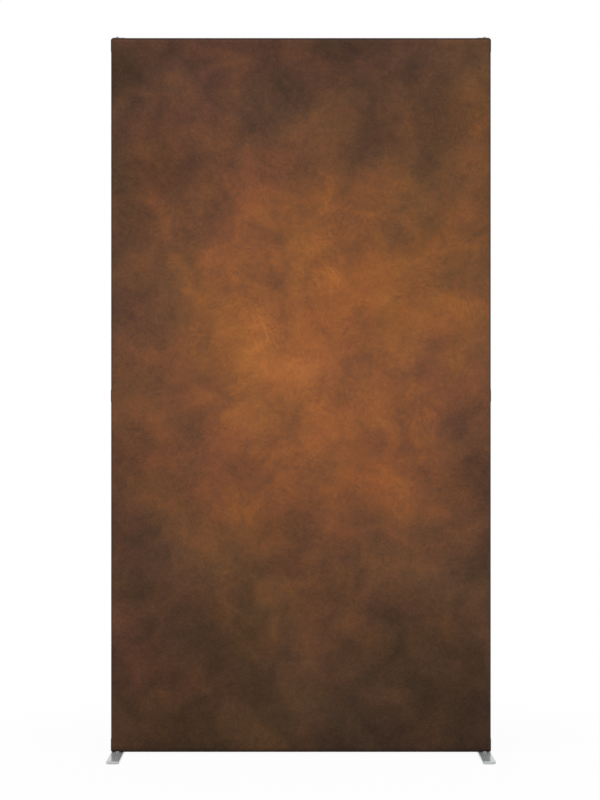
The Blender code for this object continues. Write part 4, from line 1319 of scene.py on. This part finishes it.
# --- the zip
@dataclass(frozen=True)
class BackZip:
    """The coil zip low on the back: woven tape, interlocked nylon coils, stitching and stops.

    The slider and its pull are the frame's own.
    """

    low: Vector  # lowest corner of the frame's zip tape
    high: Vector
    half_width: float = 0.012
    thickness: float = 0.0006
    # Half the tape's section: across and up, with a cord at the edge and one by the coils.
    section_mm: tuple[tuple[float, float], ...] = (
        (12, 0), (12, 0.54), (11.2, 0.75), (10.2, 0.48), (3.4, 0.45), (2.8, 0.72), (2.2, 0.78),
        (0.4, 0.6),
    )
    tuck: float = 0.0006  # the tape narrows this much at its ends
    tuck_length: float = 0.004
    tape_span: float = 0.010
    coil_pitch: float = 0.0024  # real coils are closer; wide enough here for each to show
    coil_half: float = 0.0021
    coil_rise: float = 0.0011
    # One loop of the coil, ring by ring: reach from the middle, width and height as shares.
    coil_loop: tuple[Point, ...] = (
        (1.0, 0.7, 0.45), (0.8, 0.85, 0.85), (0.3, 0.85, 1.0), (-0.05, 1.05, 1.0),
        (-0.28, 0.8, 0.75),
    )
    coil_width: float = 0.42  # of a loop, as a share of the pitch
    coil_form: tuple[float, float] = (0.65, 0.4)  # shoulder and flat of its section
    coil_stagger: float = 0.25  # of the two rows either way, in pitches
    coil_margin: float = 0.006  # bare tape at each end
    stitch_from_edge: float = 0.0025
    stitch_pitch: float = 0.0036
    stitch_length: float = 0.0027
    stitch_margin: float = 0.003
    stitch_seat: float = 0.00048  # off the cover's back
    thread: float = 0.0007
    stop_from_end: float = 0.0045
    stop_length: float = 0.0030
    stop_half: float = 0.0024
    stop_rise: float = 0.0014
    stop_form: tuple[float, float] = (0.7, 0.7)
    stop_seat: float = 0.00054
    # Place along and size of each ring of a stop, as shares.
    stop_rings: tuple[tuple[float, float], ...] = ((-0.5, 0.8), (-0.36, 1), (0.36, 1), (0.5, 0.8))

    def build(self, finishes: dict[str, Material]) -> None:
        """Builds the zip.

        Args:
            finishes: The panel's materials by short name.
        """
        tape = self.tape(finishes["zip_tape"])
        forms = (  # name, bodies, finish and sharp_degrees
            ("zip_coils", self.coils(), "coil", 50),
            ("zip_stitching", self.stitches(), "thread", 60),
            ("zip_end_stops", self.stops(), "zinc", 40),
        )
        parts = [mesh_piece(name, merged(b), finishes[kind], a) for name, b, kind, a in forms]
        for piece in (tape, *parts):
            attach(piece, LOWER)
        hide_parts("zip_tape")

    def at(self, x: float, out: float, up: float) -> Point:
        """A point out from the cover's back and up from the zip's middle line."""
        return (x, self.low.y + out, (self.low.z + self.high.z) / 2 + up)

    def places(self, margin: float, pitch: float, shift: float = 0.0) -> list[float]:
        """Spreads loops or stitches evenly along the zip.

        Args:
            margin: Length without any at each end.
            pitch: Their spacing, about.
            shift: How far they stand from the even places, in pitches.

        Returns:
            Their places across.
        """
        start, run = self.low.x + margin, self.high.x - self.low.x - 2 * margin
        count = round(run / pitch)
        return [start + run * (k + 0.5 + shift) / count for k in range(count)]

    def tape(self, material: Material) -> Piece:
        """Weaves the tape: thin, with a thicker cord along its middle and both edges.

        Args:
            material: Finish of the tape.

        Returns:
            The tape.
        """
        half = [(z * MM, lift * MM) for z, lift in self.section_mm]
        profile = [(-z, lift) for z, lift in half] + half[::-1]
        rings = []
        for x in stations(self.low.x, self.high.x, self.tape_span):
            near_end = min(x - self.low.x, self.high.x - x)
            tuck = self.tuck * (1 - smooth_ramp(near_end, 0, self.tuck_length))
            share = 1 - tuck / self.half_width
            rings.append([self.at(x, lift, z * share) for z, lift in profile])
        return mesh_piece("zip_woven_tape", swept(rings), material, sharp_degrees=45)

    def coils(self) -> list[Body]:
        """Winds the two interlocked coils.

        Returns:
            Each loop.
        """
        half, seat, rows = self.coil_pitch * self.coil_width / 2, self.thickness, (-1, 1)
        shifts = [row * self.coil_stagger for row in rows]
        pairs = zip(*(self.places(self.coil_margin, self.coil_pitch, s) for s in shifts))
        bodies = []
        for row, x in (spot for pair in pairs for spot in zip(rows, pair)):
            rings = []
            for reach, wide, rise in self.coil_loop:
                section = hump(half * wide, self.coil_rise * rise, *self.coil_form)
                z = self.coil_half * (row * reach)
                rings.append([self.at(x + across, seat + up, z) for across, up in section])
            bodies.append(swept(rings))
        return bodies

    def stitches(self) -> list[Body]:
        """Sews the tape down along both edges.

        Returns:
            Each stitch.
        """
        line = self.half_width - self.stitch_from_edge
        along, out = Vector((1, 0, 0)), Vector((0, 1, 0))
        middles = [
            Vector(self.at(x, self.stitch_seat, up))
            for x in self.places(self.stitch_margin, self.stitch_pitch)
            for up in (-line, line)
        ]
        return [stitch(m, along, out, self.stitch_length, self.thread) for m in middles]

    def stops(self) -> list[Body]:
        """Clamps a small metal stop over the coils at each end.

        Returns:
            Each stop.
        """
        seat, bodies = self.stop_seat, []
        for middle in (self.low.x + self.stop_from_end, self.high.x - self.stop_from_end):
            rings = []
            for shift, size in self.stop_rings:
                section = hump(self.stop_half * size, self.stop_rise * size, *self.stop_form)
                x = middle + shift * self.stop_length
                rings.append([self.at(x, seat + up, across) for across, up in section])
            bodies.append(swept(rings))
        return bodies


# --- the feet
@dataclass(frozen=True)
class FlatFeet:
    """The two flat foot bars, with their rounded corners and edges and the hole for the screw."""

    corner: float = 0.006
    corner_steps: int = 8
    bevel: float = 0.0016
    under_bevel: float = 0.0005
    bevel_steps: int = 4
    longest_span: float = 0.03
    screw_hole: float = 0.0044
    head_hole: float = 0.0082
    head_depth: float = 0.0044
    cut_past: float = 0.01  # the cutters reach this far past the bar
    sharp_degrees: float = 40

    def build(self, metal: Material) -> None:
        """Builds both bars.

        Args:
            metal: Their finish.
        """
        for side in SIDES:
            piece = self.bar(side, metal)
            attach(piece, f"foot_{side}")
            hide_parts(f"foot_bar_{side}")

    def bar(self, side: str, metal: Material) -> Piece:
        """Mills one bar from flat stock.

        Args:
            side: Name of the side.
            metal: Its finish.

        Returns:
            The bar.
        """
        low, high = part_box(f"foot_bar_{side}")
        x, y, _ = (low + high) / 2
        half_x, half_y = (high.x - low.x) / 2, (high.y - low.y) / 2
        turns = [math.pi / 2 * k / self.bevel_steps for k in range(self.bevel_steps + 1)]
        under, over = self.under_bevel, self.bevel
        levels = [(low.z + under * (1 - math.cos(a)), under * (1 - math.sin(a))) for a in turns]
        levels += [(high.z - over * (1 - math.sin(a)), over * (1 - math.cos(a))) for a in turns]
        rings = []
        for z, inset in levels:
            halves, corner = (half_x - inset, half_y - inset), self.corner - inset
            outline = rounded_outline(*halves, corner, self.corner_steps, self.longest_span)
            rings.append([(x + px, y + py, z) for px, py, _, _ in outline])
        piece = mesh_piece(f"flat_foot_{side}", swept(rings), metal, self.sharp_degrees)
        start = low.z - self.cut_past
        cut(piece, [round_cutter(x, y, self.screw_hole, start, high.z + self.cut_past)])
        cut(piece, [round_cutter(x, y, self.head_hole, start, low.z + self.head_depth)])
        piece.data.shade_smooth()
        piece.data.set_sharp_from_angle(angle=math.radians(self.sharp_degrees))
        return piece


# --- the lock springs
@dataclass(frozen=True)
class LockSprings:
    """The springs round the lock buttons' stems, which the buttons squeeze as they go in; here
    they keep their rest length.
    """

    wire: float = 0.00045
    turns: int = 3
    turn_steps: int = 20
    wire_sides: int = 8

    def build(self, steel: Material) -> None:
        """Winds a spring behind each button.

        Args:
            steel: Their finish.
        """
        for side in SIDES:
            node, joint = f"lock_spring_{side}", f"lock_{side}_press"
            piece = self.coil(side, steel)
            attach(piece, LOWER)
            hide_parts(node)
            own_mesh(piece)

    def coil(self, side: str, steel: Material) -> Piece:
        """Winds one spring from round wire.

        Args:
            side: Name of the side.
            steel: Its finish.

        Returns:
            The spring.
        """
        low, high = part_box(f"lock_spring_{side}")
        wire, middle = self.wire / 2, (low + high) / 2
        radius, count = (high.x - low.x) / 2 - wire, self.turns * self.turn_steps
        angles = [math.tau * i / self.wire_sides for i in range(self.wire_sides)]
        rings = []
        for k in range(count + 1):
            turn = math.tau * k / self.turn_steps
            out = Vector((math.cos(turn), 0, math.sin(turn)))
            y = low.y + wire + (high.y - low.y - 2 * wire) * k / count
            centre = Vector((middle.x, y, middle.z)) + out * radius
            round_wire = [out * math.cos(a) + Vector((0, math.sin(a), 0)) for a in angles]
            rings.append([centre + offset * wire for offset in round_wire])
        return mesh_piece(f"compression_spring_{side}", swept(rings), steel, sharp_degrees=60)


# --- hard pieces of the frame
@dataclass(frozen=True)
class FrameFinishes:
    """Which finish each kind of hard piece gets, by the start of its name."""

    kinds: tuple[tuple[str, str], ...] = (
        ("upright", "tube"), ("top_rail", "rail"), ("bottom_rail", "rail"),
        ("corner_block", "block"), ("corner_plug", "turned"), ("corner_screw", "steel"),
        ("knuckle", "knuckle"), ("hinge_pin", "steel"), ("rivet", "steel"),
        ("lock_button", "button"), ("lock", "steel"), ("foot_post", "turned"),
        ("foot_screw", "steel"), ("foot_pad", "rubber"), ("zip", "zinc"),
    )

    def dress(self, finishes: dict[str, Material]) -> None:
        """Puts the finishes on the frame's own pieces; the longest kind that fits counts.

        Args:
            finishes: The panel's materials by short name.
        """
        for name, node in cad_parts.items():
            if node.hide_render:
                continue
            kind = max((kind for kind, _ in self.kinds if name.startswith(kind)), key=len)
            finish = finishes[dict(self.kinds)[kind]]
            for place in node.material_slots:
                place.material = finish
            if not node.material_slots:
                node.data.materials.append(finish)
            LOG.info("frame piece: %s in %s", name, finish.name)


# --- floor, light and camera
@dataclass(frozen=True)
class Studio:
    """A pale floor, a plain white surround, soft lamps and the camera."""

    floor_half: float = 12.0
    floor_colour: str = "#e6e6e6"
    surround: float = 0.62  # light level that the surround gives matt surfaces
    floor_white: float = 0.95  # how much of the floor near the panel looks plain white
    floor_fade: tuple[float, float] = (0.7, 1.8)  # beyond this the whole floor does
    lamps: tuple[tuple[str, Point, float, float], ...] = (  # name, place, size and watts
        ("key", (-2.8, -4.4, 2.9), 3.2, 66),
        ("fill", (3.3, -4.6, 1.2), 3.0, 52),
        ("rear", (0.8, 4.0, 4.4), 4.0, 84),
        ("top", (0.0, -0.6, 4.8), 3.0, 26),
    )
    aim: Point = (0, 0, 1.15)
    camera_place: Point = (-0.003, -7.50, 1.141)
    lens_mm: float = 105.0
    sensor_mm: float = 36.0

    def build(self) -> None:
        """Sets the scene up."""
        self.floor()
        self.world()
        for lamp in self.lamps:
            self.lamp(*lamp)
        self.camera()
        bpy.context.scene.view_settings.view_transform = "Standard"
        LOG.info("studio: floor, surround, lamps and camera")

    def seen(self, tree: Tree) -> Source:
        """Tells whether a ray comes from the eye, straight or through a shiny or clear surface.

        Args:
            tree: Node tree that asks.

        Returns:
            1 for such rays.
        """
        path = add_node(tree, "LightPath").outputs
        total = path["Is Camera Ray"]
        for name in ("Is Glossy Ray", "Is Transmission Ray"):
            total = add_node(tree, "Math", {0: total, 1: path[name]}, operation="MAXIMUM")
        return total

    def floor(self) -> None:
        """Lays the floor: a pale matt sheet that keeps a soft shadow."""
        material = bpy.data.materials.new("pale_studio_floor")
        tree = bare_tree(material)
        values = {"Color": linear(self.floor_colour), "Roughness": 1.0}
        matt = add_node(tree, "BsdfDiffuse", values)
        white = add_node(tree, "Emission", {"Color": linear("#ffffff"), "Strength": 1.0})
        place = add_node(tree, "TexCoord").outputs["Object"]
        away = add_node(tree, "VectorMath", {0: place}, operation="LENGTH").outputs["Value"]
        start, end = self.floor_fade
        values = {"Value": away, "From Min": start, "From Max": end, "To Min": self.floor_white}
        fade = add_node(tree, "MapRange", values, interpolation_type="SMOOTHSTEP")
        share = add_node(tree, "Math", {0: self.seen(tree), 1: fade}, operation="MULTIPLY")
        mixed = add_node(tree, "MixShader", {0: share, 1: matt, 2: white})
        add_node(tree, "OutputMaterial", {"Surface": mixed})
        half = self.floor_half
        corners = [(-half, -half, 0), (half, -half, 0), (half, half, 0), (-half, half, 0)]
        mesh_piece("studio_floor", (corners, [(0, 1, 2, 3)]), material)

    def world(self) -> None:
        """Makes the surround: white to the eye, an even plain level to matt surfaces."""
        world = bpy.data.worlds.new("studio_surround")
        bpy.context.scene.world = world
        tree = bare_tree(world)
        white = {"Color": linear("#ffffff")}
        even = add_node(tree, "Background", {**white, "Strength": self.surround})
        plain = add_node(tree, "Background", {**white, "Strength": 1.0})
        mixed = add_node(tree, "MixShader", {0: self.seen(tree), 1: even, 2: plain})
        add_node(tree, "OutputWorld", {"Surface": mixed})

    def lamp(self, name: str, place: Point, size: float, watts: float) -> None:
        """Hangs a square soft lamp that faces the panel's middle.

        Args:
            name: Name of the lamp.
            place: Its place.
            size: Length of its sides.
            watts: Its power.
        """
        data = bpy.data.lights.new(name, "AREA")
        data.shape = "SQUARE"
        data.size = size
        data.energy = watts
        lamp = bpy.data.objects.new(name, data)
        turn = (Vector(self.aim) - Vector(place)).to_track_quat("-Z", "Y")
        lamp.matrix_world = Matrix.Translation(place) @ turn.to_matrix().to_4x4()
        bpy.context.scene.collection.objects.link(lamp)

    def camera(self) -> None:
        """Stands the camera level, straight ahead of the panel."""
        data = bpy.data.cameras.new("camera")
        data.lens = self.lens_mm
        data.sensor_width = self.sensor_mm
        camera = bpy.data.objects.new("camera", data)
        camera.location = self.camera_place
        camera.rotation_euler = (math.pi / 2, 0, 0)
        bpy.context.scene.collection.objects.link(camera)
        bpy.context.scene.camera = camera


# --- finishes of this panel
def panel_finishes(layout: Layout) -> dict[str, Finish]:
    """Every finish of the panel.

    Args:
        layout: Places of the frame, for the painted edge shade of the print.

    Returns:
        The finishes by short name.
    """
    past_side, past_end = 0.016, 0.0115  # from a tube's middle to where the painted edge shade starts, on the cloth
    half_height = (layout.rail_high - layout.rail_low) / 2
    return {
        # Dye-printed stretch polyester: a matt, hand-painted looking brown ground.
        "print": MottledPrint(
            "dye_printed_stretch_polyester", "#6b4731", 0.9,
            edge_shade_half=(layout.upright + past_side, half_height + past_end),
            edge_shade_middle=(layout.rail_low + layout.rail_high) / 2,
        ),
        # Black warp knit: deep matt black with a faint soft sheen.
        "cloth": KnitCloth("black_warp_knit_polyester", "#17171a", 0.85),
        # Folded black tape: a little glossier than the cloth, finely ribbed.
        "trim": WovenTape("black_binding_tape", "#1c1c1f", 0.75, grain=Grain.ALONG_Z),
        # Woven black tape: dull, with ribs across it.
        "zip_tape": WovenTape("black_woven_zip_tape", "#141416", 0.8),
        # Bonded polyester thread: tight, slightly shiny.
        "thread": GrainedSurface(
            "black_bonded_thread", "#202023", 0.5, dark="#0c0c0d", grain_mm=0.5, blotch_mm=3.0
        ),
        # Nylon coil: smooth moulded gloss, softly marked by the slider.
        "coil": GrainedSurface(
            "black_nylon_coil", "#1a1a1b", 0.38, dark="#0a0a0a", grain_mm=0.5, blotch_mm=5.0
        ),
        # Extruded, clear-anodised aluminium tube: satin grey with fine drawing lines.
        "tube": DrawnMetal("anodised_drawn_aluminium", "#c4c6c8", 0.34, dark="#a9abad"),
        "rail": DrawnMetal(
            "anodised_drawn_aluminium_rail", "#c4c6c8", 0.34, dark="#a9abad", grain=Grain.ALONG_X
        ),
        # Glass-filled nylon: charcoal, with a fine moulded grain.
        "block": GrainedSurface("moulded_glass_filled_nylon", "#2a2b2d", 0.55, dark="#1d1e20"),
        # Die-cast aluminium, tumbled: soft grey metal with a light cast texture.
        "knuckle": GrainedSurface(
            "tumbled_die_cast_aluminium", "#a4a6a9", 0.45, 1.0, dark="#8b8d91",
            grain_mm=0.6, depth_mm=0.04,
        ),
        # Turned aluminium: satin, with the fine rings that a lathe leaves.
        "turned": DrawnMetal(
            "turned_aluminium", "#a9abad", 0.36, dark="#8f9193", line_mm=60.0, line_length_mm=0.7
        ),
        # Bright zinc-plated steel: cool, with soft cloudy plating.
        "steel": GrainedSurface(
            "zinc_plated_steel", "#a2a5a9", 0.3, 1.0, dark="#84888e", blotch_mm=6.0, depth_mm=0.01
        ),
        # Black-enamelled brass eyelet: satin black, with brown metal where it is worn.
        "eyelet": GrainedSurface(
            "black_enamelled_brass", "#1a1816", 0.4, dark="#2c241c", blotch_mm=4.0, depth_mm=0.01
        ),
        # Acetal push button: smooth red gloss.
        "button": GrainedSurface("moulded_red_acetal", "#bc3027", 0.3, dark="#a3281f", coat=0.1),
        # Gun-metal plated zinc: dark, shiny, fine die-cast pits.
        "zinc": GrainedSurface(
            "gunmetal_plated_zinc", "#4c4c50", 0.3, 1.0, dark="#2f2f33", grain_mm=0.4,
            blotch_mm=4.0, depth_mm=0.01,
        ),
        # Silver powder coat: a pale satin grey smooth enough to mirror the panel that stands
        # on it, with a slightly uneven gloss.
        "foot": GrainedSurface(
            "satin_silver_powder_coat", "#ccd2d2", 0.2, 0.22, dark="#b9bfbf",
            grain_mm=0.9, blotch_mm=18.0, depth_mm=0.003, spread=0.04,
        ),
        # Rubber: dull black with a fine grit.
        "rubber": GrainedSurface("black_rubber", "#1b1b1b", 0.8, grain_mm=0.9),
    }


def main() -> None:
    """Builds and dresses the panel, in order."""
    logging.basicConfig(level=logging.INFO, format="%(name)s: %(message)s")
    layout = Layout.measure()
    finishes = {name: finish.make() for name, finish in panel_finishes(layout).items()}
    Studio().build()
    StretchCover(CoverShape(layout)).build(finishes)
    BackZip(*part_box("zip_tape")).build(finishes)
    FlatFeet().build(finishes["foot"])
    LockSprings().build(finishes["steel"])
    FrameFinishes().dress(finishes)


if __name__ == "__main__":
    main()
